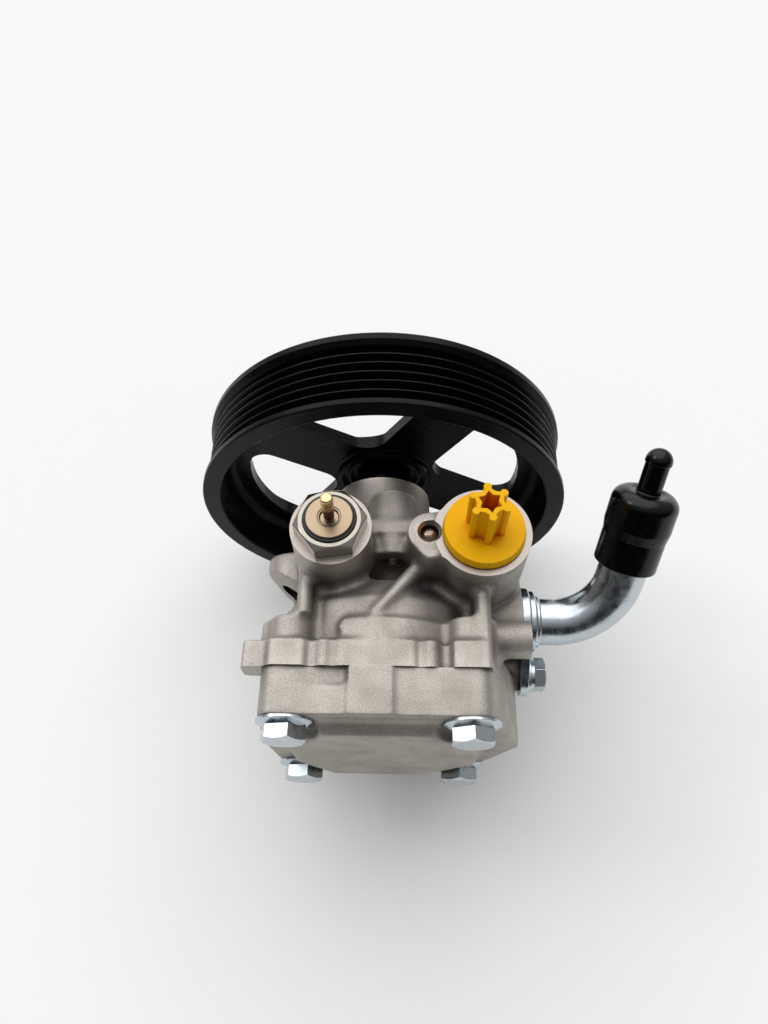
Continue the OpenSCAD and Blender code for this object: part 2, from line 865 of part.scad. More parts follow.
// Round topped rib from one plan point to another, standing on the core
module rib(from, to, top) {
    d = to - from;
    translate([from[0], from[1], top - rib_r])
        rotate([0, 0, atan2(d[1], d[0])]) {
            rotate([0, 90, 0])
                cylinder(r = rib_r, h = norm(d), $fn = 32);
            translate([0, -rib_r, -rib_drop])
                cube([norm(d), 2 * rib_r, rib_drop]);
        }
}

module body_solid() {
    body_core();
    slab_y(flange_front, joint_y)
        flange_outline();
    at_cover_bolts()
        rod_y(0, 0, bolt_boss_r, flange_front - over, boss_front);
    // Raised arc above the discharge passage
    rotate([-90, -pad_arc_from - pad_arc_turn, 0])
        rotate_extrude(angle = pad_arc_turn)
            translate([chamber_r, flange_front - over])
                square([barrel_r + pad_arc_h - chamber_r, boss_front - flange_front]);
    rotate([0, -pad_arc_from - finger_turn, 0])
        rod_x(boss_front - finger_r - over, 0, finger_r, chamber_r, barrel_r + pad_arc_h);
    // Step beside the left bolt boss
    translate([step_x, flange_front - over, bolt_z - bolt_boss_r])
        cube([bolt_boss_r, boss_front - flange_front, bolt_boss_r + step_rise]);
    // Port bosses and the bar that ties them
    rod_z(switch_x, port_y, switch_boss_r, switch_foot, switch_top);
    rod_z(outlet_x, port_y, outlet_boss_r, outlet_foot, outlet_top);
    translate([0, 0, eye_foot])
        linear_extrude(outlet_top - eye_foot - seat_gap)
            eye_outline();
    translate([switch_x, bar_front - bar_t, 0])
        cube([eye_x - switch_x, bar_t, bar_top]);
    translate([dome_r / 2, port_y - saddle_w / 2, outlet_foot])
        cube([outlet_x - dome_r / 2, saddle_w, saddle_top - outlet_foot]);
    // Upper mounting boss and side lug
    rod_y(upper_x, upper_z, upper_boss_r, upper_rear, upper_rear + upper_len);
    difference() {
        slab_y(lug_front, lug_rear - lug_r)
            stretched([[lug_x, lug_z + lug_rise, lug_r], [lug_x + lug_rise, lug_z - lug_rise, lug_r],
                [-dome_r / 2, -lug_r, lug_r], [-dome_r / 2, lug_r, lug_r]]);
        translate([lug_x, lug_rear, lug_z])
            rotate(-lug_slant)
                translate([-barrel_r, -barrel_r, -barrel_r])
                    cube([2 * barrel_r, barrel_r, 2 * barrel_r]);
    }
    translate([0, 0, lug_z - lug_hole_r - rib_r / 2 - lug_web_h])
        linear_extrude(lug_web_h)
            stretched([[lug_x, lug_front - rib_r, rib_r], [-bolt_x, barrel_front, rib_r],
                [-dome_r / 2, barrel_front, rib_r], [-dome_r / 2, lug_front - rib_r, rib_r]]);
    // Ribs
    rib([left_rib_x, port_y - eye_r], [left_rib_x, boss_front], rib_top);
    rib([outlet_x, port_y - eye_r], [outlet_x, flange_front - over], rib_top);
    rib([eye_x, port_y - eye_r / 2], [gallery_x, boss_front], rib_top);
    // Suction boss, side boss and plate bolt boss
    rod_x(suction_y, suction_z, suction_boss_r, dome_r / 2, seat_x);
    rod_x(side_boss_y, side_boss_z, side_boss_r, bolt_x, seat_x);
    rod_x(plate_bolt_y, plate_bolt_z, plate_bolt_boss_r, barrel_r / 2, seat_x);
}

module pump_body() {
    bush_r = journal_r + bush_wall;
    mouth_r = suction_ring_r + suction_wire + seat_gap;
    bolt_hole_r = plate_bolt_r + seat_gap;
    color("#b7afa6")
        difference() {
            body_solid();
            // Shaft, seal, bush and vane chamber
            rod_y(0, 0, seal_r, seal_y - seal_t - over, nose_y + over);
            rod_y(0, 0, bush_r, journal_end, nose_y);
            rod_y(0, 0, relief_r, joint_y, nose_y);
            rod_y(0, 0, chamber_r, joint_y - over, chamber_y);
            for (s = [-1, 1])
                rod_y(0, s * dowel_z, dowel_r + seat_gap, joint_y, chamber_y + dowel_bite);
            at_cover_bolts()
                rod_y(0, 0, bolt_r + seat_gap, joint_y - over, joint_y + bolt_grip + drill_over);
            // Switch bore
            rod_z(switch_x, port_y, switch_thread_r + seat_gap, switch_well - seat_gap, switch_top + over);
            rod_z(switch_x, port_y, plunger_r + run_gap, switch_well - plunger_bore, switch_well);
            // Outlet bore and the gallery hole
            rod_z(outlet_x, port_y, outlet_bore_r, outlet_floor, outlet_top + over);
            rod_z(eye_x, port_y, eye_hole_r, eye_floor, outlet_top + over);
            translate([eye_x, port_y, outlet_top - eye_chamfer])
                cylinder(r1 = eye_hole_r, r2 = eye_hole_r + eye_chamfer, h = eye_chamfer);
            // Suction bore, its way into the chamber and the plate bolt
            rod_x(suction_y, suction_z, pipe_r + seat_gap, seat_x - suction_deep, seat_x + over);
            translate([seat_x - suction_deep + passage_r, suction_y, suction_z])
                rotate([0, 90, passage_turn])
                    cylinder(r = passage_r, h = passage_len);
            rod_x(suction_y, suction_z, mouth_r, seat_x - 2 * suction_wire, seat_x + over);
            rod_x(plate_bolt_y, plate_bolt_z, bolt_hole_r, seat_x - plate_bolt_deep, seat_x + over);
            // Mounting holes
            rod_y(upper_x, upper_z, upper_hole_r, upper_rear - drill_over, upper_rear + upper_len + over);
            rod_y(upper_x, upper_z, upper_hole_r + spot_w, upper_rear - drill_over, upper_rear);
            rod_y(lug_x, lug_z, lug_hole_r, lug_rear - lug_hole_r, lug_front + over);
        }
}

// Outline of the cover in X and Z
module cover_outline() {
    r = cover_round;
    top = cover_top - r;
    side = cover_half_w - r;
    stretched([[-side, top, r], [-side - cover_belly, 0, r], [-side, -bolt_z, r], [-pad_half_w, -top, r],
        [pad_half_w, -top, r], [side, -bolt_z, r], [bulge_x - r, 0, r], [side, top, r]]);
}

// Raised octagonal pad with sloping sides
module pad() {
    slope = atan(pad_slope / pad_h);
    reach = 4 * pad_half_h;
    n = len(pad_corners);
    difference() {
        slab_y(cover_rear + over, pad_rear)
            square(reach, center = true);
        for (i = [0 : n - 1]) {
            a = pad_corners[i];
            d = pad_corners[(i + 1) % n] - a;
            translate([a[0], pad_rear, a[1]])
                rotate([0, -atan2(d[1], d[0]), 0])
                    rotate([-slope, 0, 0])
                        translate([-reach, -reach, -reach])
                            cube([2 * reach, 2 * reach, reach]);
        }
    }
}

module rear_cover() {
    color("#b9b1a8")
        difference() {
            union() {
                slab_y(joint_y, cover_rear)
                    cover_outline();
                slab_y(joint_y, cover_rear)
                    translate([crown_left, cover_top - cover_round])
                        square([crown_right - crown_left, cover_round + crown_h]);
                pad();
            }
            at_cover_bolts() {
                rod_y(0, 0, bolt_free_r, cover_rear - over, joint_y + over);
                rod_y(0, 0, bolt_pocket_r, pad_rear - over, cover_rear);
            }
            translate([crown_left - step_len, joint_y - step_deep, cover_top])
                rotate([0, atan(step_drop / step_len), 0])
                    cube([step_len, step_deep + over, step_drop + over]);
            rod_y(0, 0, tail_r + tail_bush_wall, joint_y - tail_len - bush_inset, joint_y + over);
            wire_ring(cover_seal_r, cover_seal_wire + seat_gap, joint_y);
            kidneys(joint_y + over, joint_y - kidney_deep);
            for (s = [-1, 1])
                rod_y(0, s * dowel_z, dowel_r + seat_gap, joint_y - dowel_bite - seat_gap, joint_y + over);
        }
}

module cover_seal() {
    color("#1c1c1e")
        intersection() {
            wire_ring(cover_seal_r, cover_seal_wire, joint_y);
            rod_y(0, 0, barrel_r, joint_y - 2 * cover_seal_wire, joint_y - seat_gap);
        }
}

module cover_bolts() {
    color("#cfd4d8")
        at_cover_bolts() {
            translate([0, cover_rear, 0])
                rotate([90, 0, 0]) {
                    rotate_extrude()
                        polygon([[0, 0], [bolt_flange_r, 0], [bolt_flange_r, bolt_flange_edge],
                            [bolt_af / 2, bolt_flange_t], [0, bolt_flange_t]]);
                    translate([0, 0, bolt_flange_t])
                        rotate($bolt_turn)
                            hex_head(bolt_af, bolt_head_h);
                }
            rod_y(0, 0, bolt_r, cover_rear - bolt_flange_edge, joint_y + bolt_grip);
        }
}

module valve_seat() {
    color("#a9adb2")
        difference() {
            rod_z(outlet_x, port_y, outlet_bore_r - seat_gap, valve_seat_z, valve_seat_z + valve_seat_t);
            rod_z(outlet_x, port_y, valve_seat_hole, valve_seat_z - over, valve_seat_z + valve_seat_t + over);
        }
}

module valve_spool() {
    bottom = spool_top - spool_len;
    in_r = spool_r - spool_wall;
    color("#9aa0a6")
        translate([outlet_x, port_y, 0])
            rotate_extrude()
                polygon([[0, spool_top], [spool_r - spool_chamfer, spool_top],
                    [spool_r, spool_top - spool_chamfer],
                    [spool_r, spool_top - spool_land], [spool_r - spool_waist, spool_top - spool_land],
                    [spool_r - spool_waist, bottom + spool_land], [spool_r, bottom + spool_land],
                    [spool_r, bottom], [in_r, bottom], [in_r, spool_roof], [0, spool_roof]]);
}

module valve_spring() {
    color("#7b8086")
        translate([outlet_x, port_y, outlet_floor])
            coil(spring_r, spring_wire, spool_roof - outlet_floor, spring_turns);
}

module grip_star(r, dip) {
    polygon([for (k = [0 : 2 * plug_ridges - 1]) let (q = k % 2 == 0 ? r : r - dip, a = 180 * k / plug_ridges)
        q * [cos(a), sin(a)]]);
}

module outlet_plug() {
    color("#f2b100")
        translate([outlet_x, port_y, outlet_top])
            rotate(plug_turn) {
                difference() {
                    rotate_extrude()
                        polygon([[0, seat_gap], [plug_flange_r - plug_edge, seat_gap],
                            [plug_flange_r, plug_edge], [plug_flange_r - plug_edge, plug_flange_t],
                            [0, plug_flange_t]]);
                    translate([0, 0, plug_flange_t / 2])
                        linear_extrude(plug_flange_t)
                            grip_star(plug_grip_r - ridge_r - grip_wall, grip_dip);
                    translate([0, 0, -over])
                        cylinder(r = outlet_bore_r - cap_gap - plug_wall, h = over + plug_flange_t / 4);
                }
                translate([0, 0, plug_flange_t - grip_root])
                    linear_extrude(plug_grip_h + grip_root)
                        difference() {
                            union() {
                                grip_star(plug_grip_r - ridge_r, grip_dip);
                                for (k = [0 : plug_ridges - 1])
                                    rotate(360 * k / plug_ridges)
                                        translate([plug_grip_r - ridge_r, 0])
                                            circle(r = ridge_r, $fn = 16);
                            }
                            grip_star(plug_grip_r - ridge_r - grip_wall, grip_dip);
                        }
                difference() {
                    translate([0, 0, -plug_skirt])
                        cylinder(r = outlet_bore_r - cap_gap, h = plug_skirt + plug_edge);
                    translate([0, 0, -plug_skirt - over])
                        cylinder(r = outlet_bore_r - cap_gap - plug_wall, h = plug_skirt + over + plug_edge);
                }
            }
}

module gallery_ball() {
    color("#7a6a5c")
        translate([eye_x, port_y, outlet_top - eye_hole_r - eye_chamfer])
            sphere(r = eye_hole_r - seat_gap);
}

module switch_body() {
    color("#c9cbcc")
        translate([switch_x, port_y, 0])
            difference() {
                union() {
                    translate([0, 0, switch_top + seat_gap])
                        rotate(hex_turn)
                            hex_head(switch_af, switch_hex_h);
                    translate([0, 0, switch_well])
                        cylinder(r = switch_thread_r, h = switch_thread_len + over);
                }
                translate([0, 0, switch_top + switch_hex_h - insulator_t + insulator_up])
                    cylinder(r = insulator_r + ring_wall, h = insulator_t + over);
                translate([0, 0, switch_well - over])
                    cylinder(r = switch_cup_r, h = switch_cup + over);
                translate([0, 0, switch_well])
                    cylinder(r = terminal_stem_r + terminal_room, h = switch_thread_len + switch_hex_h);
            }
}

module switch_plunger() {
    bottom = switch_well - plunger_len;
    color("#9aa0a6")
        translate([switch_x, port_y, 0])
            rotate_extrude()
                polygon([[0, bottom], [plunger_r - plunger_round, bottom],
                    [plunger_r, bottom + plunger_round], [plunger_r, switch_well],
                    [plunger_r - plunger_step, switch_well],
                    [plunger_r - plunger_step, switch_well + plunger_nub], [0, switch_well + plunger_nub]]);
}

module switch_spring() {
    color("#7b8086")
        translate([switch_x, port_y, switch_well + seat_gap])
            coil(plunger_r - coil_inset, coil_wire, switch_cup - 2 * seat_gap, coil_turns);
}

module switch_ring() {
    z = switch_top + switch_hex_h - insulator_t + insulator_up;
    color("#151516")
        translate([switch_x, port_y, z])
            difference() {
                cylinder(r = insulator_r + ring_wall - seat_gap, h = insulator_t - ring_drop);
                translate([0, 0, -over])
                    cylinder(r = insulator_r, h = insulator_t + 2 * over);
            }
}

module switch_insulator() {
    z = switch_top + switch_hex_h - insulator_t + insulator_up;
    color("#c9b596")
        translate([switch_x, port_y, z])
            difference() {
                rotate_extrude()
                    polygon([[0, 0], [insulator_r - seat_gap, 0],
                        [insulator_r - seat_gap, insulator_t - disc_edge],
                        [insulator_r - disc_edge, insulator_t], [0, insulator_t]]);
                translate([0, 0, insulator_t - well_deep])
                    cylinder(r = well_r, h = well_deep + over);
                translate([0, 0, -over])
                    cylinder(r = terminal_stem_r + seat_gap, h = insulator_t + 2 * over);
            }
}

module switch_terminal() {
    base = switch_top + switch_hex_h + insulator_up;
    tip = base + terminal_h;
    necks = [for (z = [base + neck_step, base + 2 * neck_step]) each [[terminal_r, z],
        [terminal_r - terminal_neck, z], [terminal_r - terminal_neck, z + neck_w], [terminal_r, z + neck_w]]];
    color("#b8935a")
        translate([switch_x, port_y, 0])
            rotate_extrude()
                polygon(concat([[0, terminal_foot], [terminal_stem_r, terminal_foot],
                    [terminal_stem_r, base + seat_gap], [terminal_r, base + seat_gap]], necks,
                    [[terminal_r, tip - terminal_room], [terminal_r - terminal_room, tip], [0, tip]]));
}

// Pipe of the given radius along its whole route, from the spigot to its free end
module pipe_route(r, more) {
    translate([0, suction_y, suction_z])
        rotate([-bend_lean, 0, 0]) {
            translate([seat_x - spigot - more, 0, 0])
                rotate([0, 90, 0])
                    cylinder(r = r, h = pipe_bend_x - seat_x + spigot + more);
            translate([pipe_bend_x, 0, bend_r])
                rotate([90, 0, 0])
                    rotate([0, 0, -90])
                        rotate_extrude(angle = bend_angle)
                            translate([bend_r, 0])
                                circle(r = r);
            pipe_end(-pipe_lap)
                cylinder(r = r - pipe_draw, h = pipe_lap + pipe_tail + more);
        }
}

// Frame of the free end of the pipe, inside the leaning plane of the bend
module pipe_end(along) {
    translate([pipe_bend_x, 0, bend_r])
        rotate([90, 0, 0])
            rotate([0, 0, bend_angle - 90])
                translate([bend_r, along, 0])
                    rotate([-90, 0, 0])
                        children();
}

module suction_pipe() {
    color("#b9c0c6")
        difference() {
            union() {
                pipe_route(pipe_r, 0);
                rod_x(suction_y, suction_z, bead_r, plate_face, plate_face + bead_w);
                rod_x(suction_y, suction_z, bead_r - bead_step, plate_face, plate_face + bead_w + bead_step);
            }
            pipe_route(pipe_r - pipe_wall, over);
        }
}

module suction_plate() {
    color("#c3c7cb")
        translate([seat_x, 0, 0])
            rotate([90, 0, 90])
                linear_extrude(plate_t)
                    difference() {
                        stretched([[suction_y, suction_z, plate_round],
                            [plate_bolt_y, plate_bolt_z, plate_tip_r]]);
                        translate([suction_y, suction_z])
                            circle(r = pipe_r + seat_gap);
                        translate([plate_bolt_y, plate_bolt_z])
                            circle(r = plate_bolt_r + bolt_room);
                    }
}

module suction_seal() {
    color("#1c1c1e")
        translate([seat_x - suction_wire, suction_y, suction_z])
            rotate([0, 90, 0])
                rotate_extrude()
                    translate([suction_ring_r, 0])
                        circle(r = suction_wire, $fn = 24);
}

module suction_flat_washer() {
    color("#c3c7cb")
        translate([plate_face, plate_bolt_y, plate_bolt_z])
            rotate([0, 90, 0])
                difference() {
                    cylinder(r = flat_washer_r, h = flat_washer_t);
                    translate([0, 0, -over])
                        cylinder(r = plate_bolt_r + bolt_room, h = flat_washer_t + 2 * over);
                }
}

module suction_spring_washer() {
    color("#aeb3b8")
        translate([plate_face + flat_washer_t, plate_bolt_y, plate_bolt_z])
            rotate([0, 90, 0])
                difference() {
                    cylinder(r = spring_washer_r, h = spring_washer_t);
                    translate([0, 0, -over])
                        cylinder(r = plate_bolt_r + bolt_room / 2, h = spring_washer_t + 2 * over);
                    translate([0, -washer_split / 2, -over])
                        cube([spring_washer_r + over, washer_split, spring_washer_t + 2 * over]);
                }
}

module suction_bolt() {
    under = plate_face + flat_washer_t + spring_washer_t;
    color("#cfd4d8") {
        translate([under, plate_bolt_y, plate_bolt_z])
            rotate([0, 90, 0])
                hex_head(plate_bolt_af, plate_bolt_head);
        rod_x(plate_bolt_y, plate_bolt_z, plate_bolt_r, seat_x - plate_bolt_deep + over, under + over);
    }
}

module pipe_cap() {
    in_r = pipe_r + cap_gap;
    shoulder = [for (a = [0 : cap_arc_step : 90])
        [cap_r - cap_round * (1 - cos(a)), cap_len - cap_round * (1 - sin(a))]];
    stem_end = cap_len + cap_stem_len - cap_tip_h;
    dome = [for (a = [0 : cap_arc_step : 90])
        [cap_tip_r * cos(a), stem_end + cap_tip_lip + (cap_tip_h - cap_tip_lip) * sin(a)]];
    color("#1a1a1c")
        translate([0, suction_y, suction_z])
            rotate([-bend_lean, 0, 0])
                pipe_end(pipe_bare)
                    rotate_extrude()
                        polygon(concat([[in_r, 0], [cap_skirt_r, 0], [cap_skirt_r, cap_skirt],
                            [cap_r, cap_skirt + cap_flare]], shoulder, [[cap_dish_r, cap_len],
                            [cap_stem_r, cap_len - cap_dish], [cap_stem_r, stem_end], [cap_tip_r, stem_end]],
                            dome, [[0, pipe_covered + cap_gap], [in_r, pipe_covered + cap_gap]]));
}

pump_body();
rear_cover();
cover_seal();
cover_bolts();
front_bush();
rear_bush();
shaft_seal();
seal_spring();
cam_ring();
side_plate();
outer_plate_seal();
inner_plate_seal();
dowel_pins();
valve_seat();
valve_spool();
valve_spring();
outlet_plug();
gallery_ball();
switch_body();
switch_plunger();
switch_spring();
switch_ring();
switch_insulator();
switch_terminal();
suction_pipe();
suction_plate();
suction_seal();
suction_bolt();
suction_flat_washer();
suction_spring_washer();
pipe_cap();
pulley();
drive_shaft();
rotor();
vanes();
rotor_ring();
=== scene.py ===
"""Looks of a vane type power steering pump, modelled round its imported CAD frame."""

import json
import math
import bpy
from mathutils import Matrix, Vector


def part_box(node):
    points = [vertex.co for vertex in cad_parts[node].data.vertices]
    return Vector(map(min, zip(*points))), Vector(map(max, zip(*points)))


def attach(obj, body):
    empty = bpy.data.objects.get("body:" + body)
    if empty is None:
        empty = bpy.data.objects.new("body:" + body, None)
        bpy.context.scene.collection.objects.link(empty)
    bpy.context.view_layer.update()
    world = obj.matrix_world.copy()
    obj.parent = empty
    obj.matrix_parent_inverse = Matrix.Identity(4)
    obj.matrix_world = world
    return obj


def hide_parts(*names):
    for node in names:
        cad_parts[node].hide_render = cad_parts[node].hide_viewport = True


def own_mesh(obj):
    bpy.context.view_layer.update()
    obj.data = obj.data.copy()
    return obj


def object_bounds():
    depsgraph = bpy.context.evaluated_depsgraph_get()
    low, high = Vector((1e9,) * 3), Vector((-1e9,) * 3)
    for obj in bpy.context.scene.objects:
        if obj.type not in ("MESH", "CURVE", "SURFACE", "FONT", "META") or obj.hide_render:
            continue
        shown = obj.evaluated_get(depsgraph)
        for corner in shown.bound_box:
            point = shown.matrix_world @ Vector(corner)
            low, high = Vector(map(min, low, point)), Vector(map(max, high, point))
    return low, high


bl_info = {
    "name": "Power steering pump",
    "version": (1, 0, 0),
    "blender": (4, 5, 0),
    "location": "View3D > Sidebar > Pump",
    "description": "Castings, pulley, ports, pipe, transport caps and studio of a power steering pump",
    "category": "Object",
}

import bmesh
import bpy
from bmesh.types import BMEdge, BMVert
from bpy.props import FloatProperty, FloatVectorProperty, IntProperty, PointerProperty
from mathutils import Matrix, Vector

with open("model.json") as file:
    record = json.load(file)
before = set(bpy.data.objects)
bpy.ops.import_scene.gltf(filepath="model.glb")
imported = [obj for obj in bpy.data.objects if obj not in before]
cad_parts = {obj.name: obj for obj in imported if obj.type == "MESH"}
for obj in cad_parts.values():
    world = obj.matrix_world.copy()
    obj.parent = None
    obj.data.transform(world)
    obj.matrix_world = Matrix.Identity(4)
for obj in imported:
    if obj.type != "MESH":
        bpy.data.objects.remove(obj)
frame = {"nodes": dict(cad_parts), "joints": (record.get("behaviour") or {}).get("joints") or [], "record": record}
CAD_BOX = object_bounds()

MM = 0.001
X_AXIS = Vector((1, 0, 0))
Y_AXIS = Vector((0, 1, 0))
Z_AXIS = Vector((0, 0, 1))
MERGE = 1e-6
ON_PLANE = 2e-5
# A Mix node's two colours and its mixed colour, whose names other sockets of the node have too
MIX_A, MIX_B, MIXED = 6, 7, 2


def linear(code):
    """Turns an sRGB hex colour into linear values."""
    parts = [int(code[i:i + 2], 16) / 255 for i in (1, 3, 5)]
    return [p / 12.92 if p <= 0.04045 else ((p + 0.055) / 1.055) ** 2.4 for p in parts] + [1.0]


def length(name, description, mm):
    """A length property, given in millimetres and kept in metres."""
    return FloatProperty(name=name, description=description, default=mm * MM, unit="LENGTH", precision=5)


def turn(name, description, degrees):
    """An angle property, given in degrees."""
    return FloatProperty(name=name, description=description, default=math.radians(degrees), subtype="ANGLE",
                         unit="ROTATION")


def tint(name, description, code):
    """A colour property, given as an sRGB hex value."""
    return FloatVectorProperty(name=name, description=description, default=linear(code), size=4,
                               min=0, max=1, subtype="COLOR")


def amount(name, description, value):
    """A strength without a unit."""
    return FloatProperty(name=name, description=description, default=value, min=0)


class CastingSizes(bpy.types.PropertyGroup):
    """Sizes of the body and cover castings."""
    voxel: length("Skin step", "Mesh step of the cast skin", 0.45)
    stock: length("Machining stock", "Metal left on a face before it is machined", 2)
    fillet: length("Fillet", "Rounding of the inner corners", 1.6)
    passes: IntProperty(name="Edge passes", description="Smoothing passes that round the outer edges",
                        default=5, min=0)
    faces: IntProperty(name="Most triangles", description="Triangles kept in one casting's skin",
                       default=170000, min=1000)
    break_edge: length("Broken edge", "Chamfer at the mouth of a machined hole", 0.4)
    switch_top: length("Switch seat", "Height of the face that the switch is screwed down on", 46.6)
    switch_face_r: length("Switch face", "Radius that the switch seat is machined to", 15.4)
    switch_bore_r: length("Switch bore", "Radius of the hole that the switch is screwed into", 6.9)
    outlet_face_r: length("Outlet face", "Radius that the outlet boss is faced to", 15.2)
    bore_floor: length("Outlet depth", "Height of the outlet bore's floor", 12)
    nose_face_r: length("Nose face", "Radius that the nose is faced to", 20)
    eye_wall: length("Eye wall", "Metal cast round the gallery hole before it is drilled", 1.2)
    spot_face: length("Spot face", "Width of the face round the upper mounting hole", 1.6)
    scoop_len: length("Scoop length", "Length of the hollow behind that face", 9)
    scoop_flare: length("Scoop flare", "How much that hollow widens to the rear", 4.5)
    thread_pitch: length("Thread pitch", "Pitch of the thread in the upper mounting hole", 1.25)
    thread_depth: length("Thread depth", "Depth of that thread", 0.55)
    lug_slant: turn("Lug slant", "Slant of the side lug's rear face", 33)
    lug_rear: length("Lug rear", "Distance of the side lug's rear face", -47.5)


class PulleySizes(bpy.types.PropertyGroup):
    """Sizes of the belt pulley."""
    outer_r: length("Rim radius", "Radius over the rim's edges", 66)
    crest_r: length("Crest radius", "Radius over the ribs", 64.7)
    root_r: length("Root radius", "Radius in the grooves", 62.1)
    inner_r: length("Inner radius", "Radius inside the rim", 59.5)
    pitch: length("Groove pitch", "Distance from groove to groove", 3.56)
    grooves: IntProperty(name="Grooves", description="How many grooves the belt track has", default=6, min=1)
    crest_flat: length("Crest width", "Flat of a rib's crest and of a groove's root", 0.5)
    rear_drop: length("Rear edge", "Slope from the rear edge to the first rib", 0.65)
    front_drop: length("Front edge", "Slope from the last rib to the front edge", 1.3)
    web_rear: length("Web rear", "Rear face of the web", 2.5)
    web_front: length("Web front", "Front face of the web", 6.7)
    web_round: length("Web rounding", "Rounding between web and rim", 4)
    hub_r: length("Hub radius", "Radius over the raised ring of the hub", 17.5)
    ring_w: length("Ring width", "Width of the raised ring", 1.9)
    ring_h: length("Ring height", "Height of the raised ring", 2.4)
    step_h: length("Step height", "Height of the step inside the ring", 1.2)
    dish_r: length("Dish radius", "Radius of the dish round the sleeve", 12.6)
    dish: length("Dish depth", "Depth of the dish", 1.5)
    sleeve_r: length("Sleeve radius", "Radius of the sleeve behind the web", 9.7)
    boss_r: length("Boss radius", "Radius of the boss in front of the web", 14)
    window_tip: length("Window tip", "Distance from the shaft to a window's narrow end", 27.58)
    window_tip_r: length("Tip radius", "Radius of a window's narrow end", 8.5)
    window_r: length("Window reach", "Radius that the windows reach to", 50.5)
    corner_r: length("Corner radius", "Radius of a window's wide corners", 6)
    corner_turn: turn("Corner angle", "Angle from a window's middle to its wide corners", 22.54)
    window_turn: turn("Window angle", "Angle of the first window", 13)
    windows: IntProperty(name="Windows", description="How many windows the web has", default=4, min=1)
    hub_front: length("Hub front", "Front face of the hub", 9)
    hub_rear: length("Hub rear", "Rear end of the hub's sleeve", -4)
    edge_round: length("Edge rounding", "Rounding of the painted edges", 0.7)
    groove_round: length("Groove rounding", "Rounding of ribs and grooves", 0.22)
    window_round: length("Window edge", "Rounding at the mouths of the windows", 0.9)


class PipeSizes(bpy.types.PropertyGroup):
    """Sizes of the suction pipe, its plate and its transport cap."""
    pipe_r: length("Pipe radius", "Outer radius of the pipe", 7.85)
    wall: length("Pipe wall", "Thickness of the pipe's wall", 1.2)
    lead: length("Lead", "Straight length before the bend", 8.5)
    bend_r: length("Bend radius", "Radius of the bend's centre line", 21)
    bend: turn("Bend", "Angle of the bend", 80)
    lean: turn("Lean", "How far the bend leans forward", 37.7)
    bare: length("Bare end", "Length between the bend and the cap", 5.2)
    covered: length("Covered end", "Length inside the cap", 15)
    spigot: length("Spigot", "Length of pipe inside the body", 11)
    bead_r: length("Bead radius", "Radius of the bead in front of the plate", 10.25)
    bead_w: length("Bead width", "Width of that bead", 2.2)
    bead_step: length("Bead step", "Step from the bead to the pipe", 1.5)
    plate_r: length("Plate radius", "Radius of the plate round the pipe", 11.2)
    plate_tip_r: length("Plate end", "Radius of the plate round its bolt", 7.2)
    plate_round: length("Plate rounding", "Rounding of the plate's edges", 0.5)
    plate_fit: length("Plate fit", "Room between plate and pipe", 0.05)
    bolt_hole_r: length("Bolt hole", "Radius of the plate's bolt hole", 3.3)
    skirt_r: length("Skirt radius", "Radius of the cap's skirt", 10.05)
    skirt: length("Skirt length", "Length of the cap's skirt", 10.5)
    flare: length("Flare", "Length over which the skirt widens", 3.4)
    cap_r: length("Cap radius", "Radius of the cap's body", 10.58)
    cap_len: length("Cap length", "Length of the cap without its stem", 25.5)
    shoulder: length("Shoulder", "Rounding of the cap's shoulder", 4.2)
    dish_r: length("Cap dish", "Radius of the dish round the stem", 5.6)
    dish: length("Dish depth", "Depth of that dish", 0.5)
    stem_r: length("Stem radius", "Radius of the pull stem", 3.8)
    tip_r: length("Tip radius", "Radius of the stem's bulb", 4.2)
    tip_h: length("Tip height", "Height of the stem's bulb", 4.8)
    stem: length("Stem length", "Length of the stem with its bulb", 14.2)
    play: length("Cap play", "Room between cap and pipe", 0.1)


class SwitchSizes(bpy.types.PropertyGroup):
    """Sizes of the pressure switch."""
    disc_r: length("Disc radius", "Radius of the disc", 7.05)
    well_r: length("Well radius", "Radius of the well round the pin", 3)
    well: length("Well depth", "Depth of that well", 1)
    pin_r: length("Pin radius", "Radius of the terminal pin", 1.9)
    neck_r: length("Neck radius", "Radius of the pin's necks", 1.3)
    neck: length("Neck length", "Length of a neck between two of the pin's rings", 0.4)


class Finishes(bpy.types.PropertyGroup):
    """Colours of the pump's finishes."""
    cast_light: tint("Cast light", "Blasted casting where it is brightest", "#BBB4AC")
    cast_dark: tint("Cast dark", "Blasted casting where it is darkest", "#99928A")
    # Painted shade: the colour that the casting is darkened to in its recesses
    cast_shade: tint("Cast recess", "Blasted casting in its recesses", "#3E3B38")
    machined: tint("Machined", "Turned aluminium faces", "#A09791")
    # A dark finish that is given to the wall of the side lug's hole
    drilled: tint("Drilled", "Oily threads and holes", "#4A4643")
    paint: tint("Paint", "Black paint of the pulley", "#030405")
    zinc: tint("Zinc", "Bright zinc plating", "#BEC6CB")
    nickel: tint("Nickel", "Nickel plating of the switch", "#A09A90")
    disc: tint("Disc", "Tinned disc of the switch", "#A08E76")
    brass: tint("Brass", "Switch terminal", "#D6BA8C")
    pin_foot_color: tint("Oxide", "Darkened brass at the pin's foot", "#5E3826")
    # The colour that the pin's brass darkens to towards its foot
    rubber: tint("Rubber", "Seals", "#0E0F10")
    vinyl: tint("Vinyl", "Transport cap of the pipe", "#020203")
    plug: tint("Plug", "Transport plug of the outlet", "#EDB200")
    # Painted shade: the orange that the plug turns to in its hollows
    plug_shade: tint("Plug depth", "Transport plug where light passes through it", "#E67A00")
    steel: tint("Steel", "Ground steel", "#B4B4B2")
    ball: tint("Ball", "Pressed steel ball", "#8A7A6A")
    bronze: tint("Bronze", "Plain bearings", "#A9814E")
    floor: tint("Floor", "Studio floor", "#F2F2F1")
    sky: tint("Sky", "Light of the studio's backdrop", "#F7F9FA")


